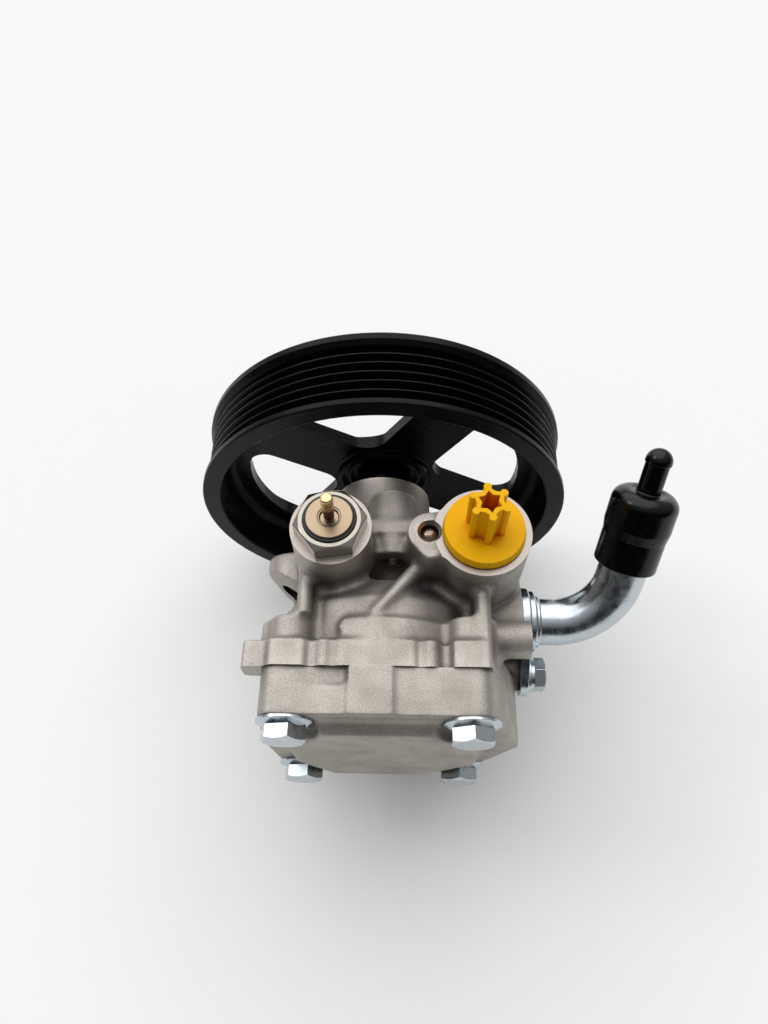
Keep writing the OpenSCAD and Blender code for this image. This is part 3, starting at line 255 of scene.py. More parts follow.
class StudioSizes(bpy.types.PropertyGroup):
    """Camera and light."""
    camera: FloatVectorProperty(name="Camera", description="Place of the camera", subtype="TRANSLATION",
                                unit="LENGTH", default=(5.675 * MM, -153.137 * MM, 250.302 * MM))
    pitch: turn("Pitch", "How far the camera looks down", 60.86645)
    yaw: turn("Yaw", "How far the camera looks to the right", -2.19672)
    roll: turn("Roll", "How far the camera is turned", 1.30004)
    lens: FloatProperty(name="Lens", description="Focal length for a 36 mm frame", default=27.07,
                        unit="CAMERA")
    floor_half: length("Floor", "Half the width of the floor", 6000)
    sun: amount("Key light", "Strength of the soft key light", 1.95)
    sun_angle: turn("Key softness", "Angle that the key light spans", 85)
    sun_tilt: turn("Key tilt", "How far the key light stands behind the pump", 34)
    sun_side: turn("Key side", "How far the key light stands to the left", 10)
    glint: amount("Small light", "Strength of the small light that draws the highlights", 0.3)
    glint_angle: turn("Small light's angle", "Angle that the small light spans", 16)
    glint_tilt: turn("Small light's tilt", "How far the small light stands behind the pump", 12)
    glint_side: turn("Small light's side", "How far the small light stands to the left", 48)
    backdrop: amount("Backdrop", "Brightness of the backdrop behind the floor", 0.9)
    zenith: amount("Sky light", "Strength of the light from above", 0.85)
    horizon: amount("Room light", "Strength of the light from the sides", 0.03)


def add(tree, kind, links=None, sockets=None, **settings):
    """Adds a shader node with its settings, socket values and links."""
    made = tree.nodes.new("ShaderNode" + kind)
    for key, value in settings.items():
        setattr(made, key, value)
    for key, value in (sockets or {}).items():
        made.inputs[key].default_value = value
    for key, source in (links or {}).items():
        tree.links.new(source, made.inputs[key])
    return made


def new_material(name, color, metallic, roughness, **sockets):
    """Starts a material from its shader's own values."""
    material = bpy.data.materials.new(name)
    material.use_nodes = True
    shader = material.node_tree.nodes["Principled BSDF"]
    shader.inputs["Base Color"].default_value = color
    shader.inputs["Metallic"].default_value = metallic
    shader.inputs["Roughness"].default_value = roughness
    for key, value in sockets.items():
        shader.inputs[key.replace("_", " ")].default_value = value
    return material, material.node_tree, shader


def blasted_aluminium(light, dark, shade_color):
    """Die cast aluminium, shot blasted: matt grey with a fine grain, with painted shade that darkens its recesses.
    """
    material, tree, shader = new_material("blasted_cast_aluminium", light, 0.75, 0.55)
    # The real grain is about 0.2 mm; it is drawn coarser so that it shows
    grain_mm, cloud_mm, cast_shade_mm = 0.5, 9, 8
    place = add(tree, "TexCoord").outputs["Object"]
    grain = add(tree, "TexNoise", {"Vector": place},
                {"Scale": 1 / (grain_mm * MM), "Detail": 3.0, "Roughness": 0.6})
    cloud = add(tree, "TexNoise", {"Vector": place}, {"Scale": 1 / (cloud_mm * MM), "Detail": 2.0})
    shade = add(tree, "Math", {0: grain.outputs["Fac"], 1: cloud.outputs["Fac"]}, operation="ADD")
    spread = add(tree, "MapRange", {"Value": shade.outputs[0]}, {"From Min": 0.7, "From Max": 1.3})
    # Sharp edges are lightened as real wear, and creases are darkened as painted shade
    edge = add(tree, "NewGeometry")
    edge_wear_and_crease_shade = add(tree, "MapRange", {"Value": edge.outputs["Pointiness"]},
               {"From Min": 0.46, "From Max": 0.56, "To Min": -0.35, "To Max": 0.35})
    tone = add(tree, "Math", {0: spread.outputs[0], 1: edge_wear_and_crease_shade.outputs[0]}, operation="ADD", use_clamp=True)
    skin = add(tree, "Mix", {0: tone.outputs[0]}, {MIX_A: dark, MIX_B: light}, data_type="RGBA")
    # Painted shade: ambient occlusion darkens the casting towards its shade colour in recesses and creases
    occlusion = add(tree, "AmbientOcclusion", None, {"Distance": cast_shade_mm * MM}, samples=6)
    unshaded_share = add(tree, "MapRange", {"Value": occlusion.outputs["AO"]}, {"From Min": 0.28, "From Max": 0.96})
    color = add(tree, "Mix", {0: unshaded_share.outputs[0], MIX_B: skin.outputs[MIXED]}, {MIX_A: shade_color},
                data_type="RGBA")
    rough = add(tree, "MapRange", {"Value": grain.outputs["Fac"]},
                {"From Min": 0.3, "From Max": 0.7, "To Min": 0.6, "To Max": 0.46})
    bump = add(tree, "Bump", {"Height": grain.outputs["Fac"]}, {"Strength": 0.5, "Distance": 0.06 * MM})
    tree.links.new(color.outputs[MIXED], shader.inputs["Base Color"])
    tree.links.new(rough.outputs[0], shader.inputs["Roughness"])
    tree.links.new(bump.outputs[0], shader.inputs["Normal"])
    return material


def machined_aluminium(name, color, centre, low, high):
    """Turned aluminium: bright and a little pink, with fine rings left by the tool."""
    material, tree, shader = new_material(name, color, 1.0, (low + high) / 2)
    # A ring is drawn each time that place times scale, times 20, goes once round
    ring_mm, phase = 0.45, 20
    place = add(tree, "Mapping", {"Vector": add(tree, "TexCoord").outputs["Object"]}, {"Location": -centre})
    rings = add(tree, "TexWave", {"Vector": place.outputs[0]},
                {"Scale": math.tau / phase / (ring_mm * MM), "Distortion": 0.6, "Detail": 1.0},
                wave_type="RINGS", rings_direction="Z")
    rough = add(tree, "MapRange", {"Value": rings.outputs["Fac"]}, {"To Min": low, "To Max": high})
    bump = add(tree, "Bump", {"Height": rings.outputs["Fac"]}, {"Strength": 0.15, "Distance": 0.01 * MM})
    tree.links.new(rough.outputs[0], shader.inputs["Roughness"])
    tree.links.new(bump.outputs[0], shader.inputs["Normal"])
    return material


def satin_paint(color):
    """Dip coated black paint on steel: deep black, satin, with a faint orange peel and a little dust."""
    material, tree, shader = new_material("satin_black_paint", color, 0.0, 0.3, IOR=1.5,
                                          Specular_IOR_Level=0.13)
    peel_mm, dust_mm = 1.2, 5
    place = add(tree, "TexCoord").outputs["Object"]
    peel = add(tree, "TexNoise", {"Vector": place}, {"Scale": 1 / (peel_mm * MM), "Detail": 2.0})
    dust = add(tree, "TexNoise", {"Vector": place}, {"Scale": 1 / (dust_mm * MM), "Detail": 4.0})
    rough = add(tree, "MapRange", {"Value": dust.outputs["Fac"]},
                {"From Min": 0.3, "From Max": 0.7, "To Min": 0.24, "To Max": 0.36})
    bump = add(tree, "Bump", {"Height": peel.outputs["Fac"]}, {"Strength": 0.15, "Distance": 0.03 * MM})
    tree.links.new(rough.outputs[0], shader.inputs["Roughness"])
    tree.links.new(bump.outputs[0], shader.inputs["Normal"])
    return material


def plated_metal(name, color, low, high, cloud_mm, relief_mm):
    """Plated or ground metal: a bright mirror broken by soft clouds of the plating bath."""
    material, tree, shader = new_material(name, color, 1.0, (low + high) / 2)
    place = add(tree, "TexCoord").outputs["Object"]
    cloud = add(tree, "TexNoise", {"Vector": place}, {"Scale": 1 / (cloud_mm * MM), "Detail": 4.0})
    rough = add(tree, "MapRange", {"Value": cloud.outputs["Fac"]},
                {"From Min": 0.3, "From Max": 0.7, "To Min": low, "To Max": high})
    bump = add(tree, "Bump", {"Height": cloud.outputs["Fac"]}, {"Strength": 0.2, "Distance": relief_mm * MM})
    tree.links.new(rough.outputs[0], shader.inputs["Roughness"])
    tree.links.new(bump.outputs[0], shader.inputs["Normal"])
    return material


def pin_brass(color, pin_foot_color, foot, clear):
    """Turned brass that is darker towards its foot, in patches."""
    material = plated_metal("turned_brass", color, low=0.2, high=0.34, cloud_mm=0.8, relief_mm=0.01)
    tree = material.node_tree
    spot_mm = 0.9
    place = add(tree, "TexCoord").outputs["Object"]
    height = add(tree, "SeparateXYZ", {"Vector": place})
    spots = add(tree, "TexNoise", {"Vector": place}, {"Scale": 1 / (spot_mm * MM), "Detail": 2.0})
    rise = add(tree, "MapRange", {"Value": height.outputs["Z"]}, {"From Min": foot, "From Max": clear})
    patchy = add(tree, "Math", {0: rise.outputs[0], 1: spots.outputs["Fac"]}, operation="MULTIPLY")
    tone = add(tree, "MapRange", {"Value": patchy.outputs[0]}, {"From Min": 0.1, "From Max": 0.4})
    mixed = add(tree, "Mix", {0: tone.outputs[0]}, {MIX_A: pin_foot_color, MIX_B: color}, data_type="RGBA")
    tree.links.new(mixed.outputs[MIXED], tree.nodes["Principled BSDF"].inputs["Base Color"])
    return material


def moulded(name, color, roughness, ior, grain_mm, strength, **sockets):
    """Moulded rubber, vinyl or polyethylene: even colour with the mould's faint grain."""
    material, tree, shader = new_material(name, color, 0.0, roughness, IOR=ior, **sockets)
    place = add(tree, "TexCoord").outputs["Object"]
    grain = add(tree, "TexNoise", {"Vector": place}, {"Scale": 1 / (grain_mm * MM), "Detail": 3.0})
    rough = add(tree, "MapRange", {"Value": grain.outputs["Fac"]},
                {"From Min": 0.3, "From Max": 0.7, "To Min": roughness - 0.06, "To Max": roughness + 0.08})
    bump = add(tree, "Bump", {"Height": grain.outputs["Fac"]}, {"Strength": strength, "Distance": 0.03 * MM})
    tree.links.new(rough.outputs[0], shader.inputs["Roughness"])
    tree.links.new(bump.outputs[0], shader.inputs["Normal"])
    return material


def yellow_plug(color, shade_color):
    """Moulded polyethylene, a little translucent: amber, with painted shade that turns it orange in its hollows.
    """
    material = moulded("yellow_polyethylene", color, roughness=0.5, ior=1.51, grain_mm=1.6, strength=0.2,
                       Specular_IOR_Level=0.12, Subsurface_Weight=0.2,
                       Subsurface_Radius=(0.9, 0.6, 0.08), Subsurface_Scale=1.5 * MM)
    tree = material.node_tree
    plug_shade_mm = 6
    # Painted shade: ambient occlusion turns the plug orange in its hollows
    occlusion = add(tree, "AmbientOcclusion", None, {"Distance": plug_shade_mm * MM}, samples=6)
    tone = add(tree, "MapRange", {"Value": occlusion.outputs["AO"]}, {"From Min": 0.15, "From Max": 0.7})
    mixed = add(tree, "Mix", {0: tone.outputs[0]}, {MIX_A: shade_color, MIX_B: color}, data_type="RGBA")
    tree.links.new(mixed.outputs[MIXED], tree.nodes["Principled BSDF"].inputs["Base Color"])
    return material


def finish(name):
    """One of the pump's finishes, made when it is first asked for."""
    colors = bpy.context.scene.pump_finishes
    made = bpy.data.materials.get(name)
    if made:
        return made
    pin, seat = middle("switch_terminal")[0], middle("valve_seat")[0]
    disc_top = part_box("switch_insulator")[1].z
    foot_dark_from, foot_dark_to = disc_top + 4 * MM, disc_top + 7 * MM
    return {
        "blasted_cast_aluminium": lambda: blasted_aluminium(colors.cast_light, colors.cast_dark,
                                                            colors.cast_shade),
        "turned_aluminium": lambda: machined_aluminium(name, colors.machined, Vector(), low=0.26, high=0.4),
        "turned_outlet_face": lambda: machined_aluminium(name, colors.machined, seat, low=0.26, high=0.4),
        "turned_switch_face": lambda: machined_aluminium(name, colors.machined, pin, low=0.26, high=0.4),
        "drilled_aluminium": lambda: machined_aluminium(name, colors.drilled, Vector(), low=0.3, high=0.5),
        "satin_black_paint": lambda: satin_paint(colors.paint),
        "bright_zinc": lambda: plated_metal(name, colors.zinc, low=0.16, high=0.34, cloud_mm=3,
                                            relief_mm=0.03),
        "nickel_plate": lambda: plated_metal(name, colors.nickel, low=0.12, high=0.24, cloud_mm=2,
                                             relief_mm=0.01),
        "tinned_brass": lambda: machined_aluminium(name, colors.disc, pin, low=0.26, high=0.42),
        "turned_brass": lambda: pin_brass(colors.brass, colors.pin_foot_color, foot_dark_from, foot_dark_to),
        "hardened_steel": lambda: plated_metal(name, colors.steel, low=0.2, high=0.34, cloud_mm=1.2,
                                               relief_mm=0.01),
        "bearing_steel": lambda: plated_metal(name, colors.ball, low=0.12, high=0.36, cloud_mm=1.4,
                                              relief_mm=0.03),
        "sintered_bronze": lambda: plated_metal(name, colors.bronze, low=0.3, high=0.5, cloud_mm=0.6,
                                                relief_mm=0.03),
        "nitrile_rubber": lambda: moulded(name, colors.rubber, roughness=0.55, ior=1.52, grain_mm=0.5,
                                          strength=0.3),
        "plasticised_vinyl": lambda: moulded(name, colors.vinyl, roughness=0.2, ior=1.54, grain_mm=2.2,
                                             strength=0.3, Specular_IOR_Level=0.25),
        "yellow_polyethylene": lambda: yellow_plug(colors.plug, colors.plug_shade),
    }[name]()


def only(geom, kind):
    """The vertices, or the edges, among the parts of a mesh."""
    return [g for g in geom if isinstance(g, kind)]


def whole_flats(bm, degrees):
    """Joins neighbouring faces that lie in one plane to within an angle."""
    bmesh.ops.dissolve_limit(bm, angle_limit=math.radians(degrees), use_dissolve_boundaries=False,
                             verts=bm.verts, edges=bm.edges)


def wrapped(bm, degrees):
    """Stretches one skin round everything in a mesh."""
    hull = bmesh.ops.convex_hull(bm, input=bm.verts)
    bmesh.ops.delete(bm, geom=only(hull["geom_interior"], BMVert), context="VERTS")
    whole_flats(bm, degrees)


def copied(node, flats=True):
    """A CAD node's mesh with its triangles joined, and its flat faces made whole."""
    bm = bmesh.new()
    bm.from_mesh(frame["nodes"][node].data)
    bmesh.ops.remove_doubles(bm, verts=bm.verts, dist=MERGE)
    if flats:
        whole_flats(bm, 1)
    return bm


def along(origin, axis):
    """The place of a shape whose Z axis runs along the given axis from the origin."""
    return Matrix.Translation(origin) @ axis.to_track_quat("Z", "Y").to_matrix().to_4x4()


def rounded(corners, steps=5):
    """Rounds the corners of a closed profile, given as (radius, height, rounding)."""
    # Two roundings share the edge between them and leave a little of it straight
    made, used = [], 0.98
    for i, (radius, height, rounding) in enumerate(corners):
        here = Vector((radius, height))
        if not rounding:
            made.append(here)
            continue
        back = Vector(corners[i - 1][:2]) - here
        ahead = Vector(corners[(i + 1) % len(corners)][:2]) - here
        half = back.angle(ahead) / 2
        shares = [used * rounding / (rounding + corners[k % len(corners)][2]) for k in (i - 1, i + 1)]
        reach = min(rounding / math.tan(half), back.length * shares[0], ahead.length * shares[1])
        start, end = here + back.normalized() * reach, here + ahead.normalized() * reach
        arm = reach * math.tan(half)
        centre = here + (back.normalized() + ahead.normalized()).normalized() * (arm / math.sin(half))
        for k in range(steps + 1):
            made.append(centre + (start - centre).lerp(end - centre, k / steps).normalized() * arm)
    return made


def put_in_order(elements, key):
    """Gives the vertices, edges or faces of a mesh an order that is the same in every run."""
    order = {element: rank for rank, element in enumerate(sorted(elements, key=key))}
    elements.sort(key=order.get)
    elements.index_update()


def turned(bm, profile, place=Matrix(), steps=96):
    """Spins (radius, height) points round Z, as a lathe would, and puts the result in its place."""
    before = set(bm.verts)
    points = [bm.verts.new((radius, 0, height)) for radius, height in profile]
    edges = [bm.edges.new(pair) for pair in zip(points, points[1:])]
    if profile[0][0] > MERGE or profile[-1][0] > MERGE:
        edges.append(bm.edges.new((points[-1], points[0])))
    bmesh.ops.spin(bm, geom=points + edges, cent=(0, 0, 0), axis=Z_AXIS, angle=math.tau, steps=steps,
                   use_merge=True)
    bmesh.ops.remove_doubles(bm, verts=[v for v in bm.verts if v not in before], dist=MERGE)
    made = [v for v in bm.verts if v not in before]
    bmesh.ops.transform(bm, matrix=place, verts=made)
    bmesh.ops.recalc_face_normals(bm, faces=list({f for v in made for f in v.link_faces}))
    # The spin makes its faces in an order that changes from run to run
    put_in_order(bm.verts, lambda v: v.co[:])
    put_in_order(bm.edges, lambda e: sorted(v.index for v in e.verts))
    put_in_order(bm.faces, lambda f: sorted(v.index for v in f.verts))


def rod(bm, start, end, radius, segments=64):
    """A closed round bar between two points."""
    start, end = Vector(start), Vector(end)
    return bmesh.ops.create_cone(bm, cap_ends=True, segments=segments, radius1=radius, radius2=radius,
                                 depth=(end - start).length,
                                 matrix=along((start + end) / 2, end - start))["verts"]


def sharp_edges(bm, degrees=25):
    """The edges where two faces meet at more than an angle."""
    limit = math.radians(degrees)
    return [e for e in bm.edges if len(e.link_faces) == 2 and e.calc_face_angle(0) > limit]


def soften(bm, edges, offset):
    """Rounds the given edges."""
    bmesh.ops.bevel(bm, geom=edges, offset=offset, offset_type="OFFSET", segments=3, profile=0.5,
                    affect="EDGES", material=-1, clamp_overlap=True)


def mesh_object(name, bm):
    """Puts a bmesh into the scene as an object at the origin."""
    mesh = bpy.data.meshes.new(name)
    bm.to_mesh(mesh)
    bm.free()
    made = bpy.data.objects.new(name, mesh)
    bpy.context.scene.collection.objects.link(made)
    return made


def applied(piece):
    """Takes the result of a piece's modifiers as its mesh."""
    mesh = bpy.data.meshes.new_from_object(piece.evaluated_get(bpy.context.evaluated_depsgraph_get()))
    old = piece.data
    piece.modifiers.clear()
    piece.data = mesh
    bpy.data.meshes.remove(old)
    mesh.name = piece.name


def placed(piece, body, nodes, materials, angle=38, weighted=True):
    """Gives a piece its materials, its shading and its place on the frame."""
    mesh = piece.data
    if materials:
        mesh.materials.clear()
        for name in materials:
            mesh.materials.append(finish(name))
    mesh.shade_smooth()
    mesh.set_sharp_from_angle(angle=math.radians(angle))
    if weighted:
        piece.modifiers.new("Even shading", "WEIGHTED_NORMAL").keep_sharp = True
    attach(piece, body)
    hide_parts(*nodes)


def carve(piece, cutters):
    """Machines a piece with closed cutters, whose faces keep their own material slot."""
    for cutter in cutters:
        for material in piece.data.materials:
            cutter.data.materials.append(material)
        count = len(piece.data.polygons)
        cut = piece.modifiers.new("Cut", "BOOLEAN")
        cut.operation = "DIFFERENCE"
        cut.solver = "MANIFOLD"
        cut.object = cutter
        applied(piece)
        if len(piece.data.polygons) == count:
            raise RuntimeError("nothing was cut by " + cutter.name)
        bpy.data.objects.remove(cutter)


def cutter_object(name, bm, slot):
    """A closed cutter whose faces carry one material slot."""
    for face in bm.faces:
        face.material_index = slot
    return mesh_object(name, bm)


def turned_cutter(name, profile, place, slot):
    """A cutter spun from a profile."""
    bm = bmesh.new()
    turned(bm, profile, place)
    return cutter_object(name, bm, slot)


def block_cutter(name, low, high, slot):
    """A cutter that takes off everything in a box."""
    bm = bmesh.new()
    low, high = Vector(low), Vector(high)
    bmesh.ops.create_cube(bm, size=1, matrix=Matrix.Translation((low + high) / 2)
                          @ Matrix.Diagonal(high - low).to_4x4())
    return cutter_object(name, bm, slot)


def reskin(piece, step):
    """Wraps a piece in one even skin."""
    skin = piece.modifiers.new("Skin", "REMESH")
    skin.mode = "VOXEL"
    skin.voxel_size = step
    applied(piece)


def drop_pores(piece):
    """Removes the small closed hollows that growing can leave under the skin."""
    bm = bmesh.new()
    bm.from_mesh(piece.data)
    waiting, shells = set(bm.verts), []
    while waiting:
        shell, edge = [], [waiting.pop()]
        while edge:
            here = edge.pop()
            shell.append(here)
            for link in here.link_edges:
                other = link.other_vert(here)
                if other in waiting:
                    waiting.remove(other)
                    edge.append(other)
        shells.append(shell)
    for shell in sorted(shells, key=len)[:-1]:
        bmesh.ops.delete(bm, geom=shell, context="VERTS")
    bm.to_mesh(piece.data)
    bm.free()


def cast_skin(name, node, stocks, fills, hollows, materials):
    """A casting as it leaves the mould: filled holes, stock on its faces, hollows and rounded corners."""
    sizes = bpy.context.scene.pump_castings
    bm = copied(node, False)
    for axis, plane, sign in stocks:
        shift = Vector((0, 0, 0))
        shift[axis] = sign * sizes.stock
        bmesh.ops.translate(bm, verts=[v for v in bm.verts if abs(v.co[axis] - plane) < ON_PLANE], vec=shift)
    for start, end, radius, slant in fills:
        bar = rod(bm, start, end, radius)
        if slant:
            edges = list({e for v in bar for e in v.link_edges})
            faces = list({f for v in bar for f in v.link_faces})
            cut = bmesh.ops.bisect_plane(bm, geom=bar + edges + faces, plane_co=slant[0], plane_no=slant[1],
                                         clear_outer=True)
            bmesh.ops.holes_fill(bm, edges=only(cut["geom_cut"], BMEdge))
    piece = mesh_object(name, bm)
    for material in materials:
        piece.data.materials.append(finish(material))
    reskin(piece, sizes.voxel)
    carve(piece, hollows)
    # Growing and then shrinking the skin leaves a fillet in every inner corner
    steps = 3
    shift = sizes.fillet / steps
    for grow in steps * [shift] + steps * [-shift]:
        reskin(piece, sizes.voxel)
        drop_pores(piece)
        offset = piece.modifiers.new("Shift", "DISPLACE")
        offset.strength = grow
        offset.mid_level = 0
        applied(piece)
    edges = piece.modifiers.new("Edges", "SMOOTH")
    edges.factor = 0.5
    edges.iterations = sizes.passes
    applied(piece)
    thin = piece.modifiers.new("Thin", "DECIMATE")
    thin.ratio = min(1.0, sizes.faces / (2 * len(piece.data.polygons)))
    applied(piece)
    return piece


def mount(name):
    """Place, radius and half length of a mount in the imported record."""
    found = next(m for m in frame["record"]["mounts"] if m["name"] == name)
    dims = found["dims"]
    return Vector(found["pos_m"]), dims.get("r_mm", 0) * MM, dims.get("length_mm", 0) * MM / 2


def middle(node):
    """Middle and half size of a CAD node's box."""
    low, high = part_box(node)
    return (low + high) / 2, (high - low) / 2


# Metal that fills the sharp corners at the feet of the port bosses: two ends and a radius, in millimetres
CORNER_FILLS = (
    ((18.5, -53, 24.2), (28.5, -63, 20.8), 3.2),
    ((-18.2, -53, 28.2), (-18.2, -63, 27.4), 2.4),
)


class PUMP_OT_castings(bpy.types.Operator):
    """Casts the body and the rear cover, and machines their faces and holes"""
    bl_idname = "pump.castings"
    bl_label = "Castings"

    def execute(self, context):
        sizes = context.scene.pump_castings
        # Cutters run over their faces, blocks reach far past the pump, and fills stay shy of finished faces
        chip, over, far, shy = sizes.break_edge, 3 * MM, 160 * MM, 0.05 * MM
        into_wall = 6 * shy
        body_low, body_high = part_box("pump_body")
        joint_y, nose_y = body_low.y, body_high.y
        seat_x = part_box("suction_plate")[0].x
        switch = middle("switch_terminal")[0]
        switch_floor, switch_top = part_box("switch_body")[0].z, sizes.switch_top
        outlet, outlet_top = middle("outlet_plug")[0], mount("outlet_port")[0].z
        bore_r = middle("valve_seat")[1].x
        ball, ball_half = middle("gallery_ball")
        ball_r, ball_floor, eye_chip = ball_half.x, ball.z - ball_half.z - chip, 2.4 * chip
        upper, upper_r, upper_half = mount("upper_mount_hole")
        upper_rear, upper_front = upper.y - upper_half, upper.y + upper_half
        lug, lug_r, lug_half = mount("lug_hole")
        lug_front, lug_floor = lug.y + lug_half, sizes.lug_rear - 1.5 * over
        slant = (Vector((lug.x, sizes.lug_rear, lug.z)),
                 Vector((-math.sin(sizes.lug_slant), -math.cos(sizes.lug_slant), 0)))
        spot, scoop_end = upper_r + sizes.spot_face, upper_rear - sizes.scoop_len
        upper_axis = along(Vector((upper.x, 0, upper.z)), Y_AXIS)
        body = cast_skin(
            "pump_casting", "pump_body",
            [(1, joint_y, -1), (1, nose_y, 1), (0, seat_x, 1), (2, switch_top, 1), (2, outlet_top, 1)],
            [((ball.x, ball.y, ball_floor - over), (ball.x, ball.y, outlet_top - shy),
              ball_r + sizes.eye_wall, None),
             ((upper.x, upper_rear + 4 * shy, upper.z), (upper.x, upper_front, upper.z),
              upper_r + into_wall, None),
             ((lug.x, sizes.lug_rear - 2 * over, lug.z), (lug.x, lug_front, lug.z), lug_r + into_wall, slant)]
            + [(Vector(a) * MM, Vector(b) * MM, r * MM, None) for a, b, r in CORNER_FILLS],
            [turned_cutter("scoop", [(0, scoop_end), (spot + sizes.scoop_flare, scoop_end),
                                     (spot, upper_rear), (0, upper_rear)], upper_axis, 0)],
            ["blasted_cast_aluminium", "turned_aluminium", "turned_outlet_face", "turned_switch_face",
             "drilled_aluminium"])
        turns = int((upper_front - upper_rear) / sizes.thread_pitch)
        thread = [(0, upper_rear - over), (upper_r + chip, upper_rear - over),
                  (upper_r + chip, upper_rear + chip)]
        for k in range(turns):
            foot = upper_rear + 2 * chip + k * sizes.thread_pitch
            thread += [(upper_r - sizes.thread_depth, foot), (upper_r, foot + sizes.thread_pitch / 2)]
        thread += [(upper_r + chip, upper_front + over), (0, upper_front + over)]
        carve(body, [
            block_cutter("joint_face", (-far, joint_y - far, -far), (far, joint_y, far), 1),
            turned_cutter("nose_face", [(0, nose_y), (sizes.nose_face_r, nose_y),
                                        (sizes.nose_face_r, nose_y + over), (0, nose_y + over)],
                          along(Vector(), Y_AXIS), 1),
            block_cutter("suction_face", (seat_x, -far, -far), (far, far, far), 1),
            turned_cutter("switch_face", [
                (0, switch_floor), (sizes.switch_bore_r, switch_floor), (sizes.switch_bore_r, switch_top),
                (sizes.switch_face_r, switch_top), (sizes.switch_face_r, switch_top + 2 * over),
                (0, switch_top + 2 * over)], Matrix.Translation((switch.x, switch.y, 0)), 3),
            turned_cutter("outlet_face", [
                (0, sizes.bore_floor), (bore_r, sizes.bore_floor), (bore_r, outlet_top - 2 * chip),
                (bore_r + 2 * chip, outlet_top), (sizes.outlet_face_r, outlet_top),
                (sizes.outlet_face_r, outlet_top + 2 * over), (0, outlet_top + 2 * over)],
                Matrix.Translation((outlet.x, outlet.y, 0)), 2),
            turned_cutter("gallery_hole", [
                (0, ball_floor), (ball_r, ball_floor), (ball_r, outlet_top - eye_chip),
                (ball_r + eye_chip, outlet_top - shy), (ball_r + eye_chip, outlet_top + over),
                (0, outlet_top + over)], Matrix.Translation((ball.x, ball.y, 0)), 1),
            turned_cutter("upper_hole", thread, upper_axis, 1),
            turned_cutter("lug_hole", [
                (0, lug_floor), (lug_r, lug_floor), (lug_r, lug_front - chip), (lug_r + chip, lug_front),
                (lug_r + chip, lug_front + over), (0, lug_front + over)],
                along(Vector((lug.x, 0, lug.z)), Y_AXIS), 4),
        ])
        placed(body, "housing", ["pump_body"], [], angle=40, weighted=False)
        cover = cast_skin("cover_casting", "rear_cover", [(1, joint_y, 1)], [], [],
                          ["blasted_cast_aluminium", "turned_aluminium"])
        carve(cover, [block_cutter("cover_face", (-far, joint_y, -far), (far, joint_y + far, far), 1)])
        placed(cover, "housing", ["rear_cover"], [], angle=40, weighted=False)
        return {"FINISHED"}


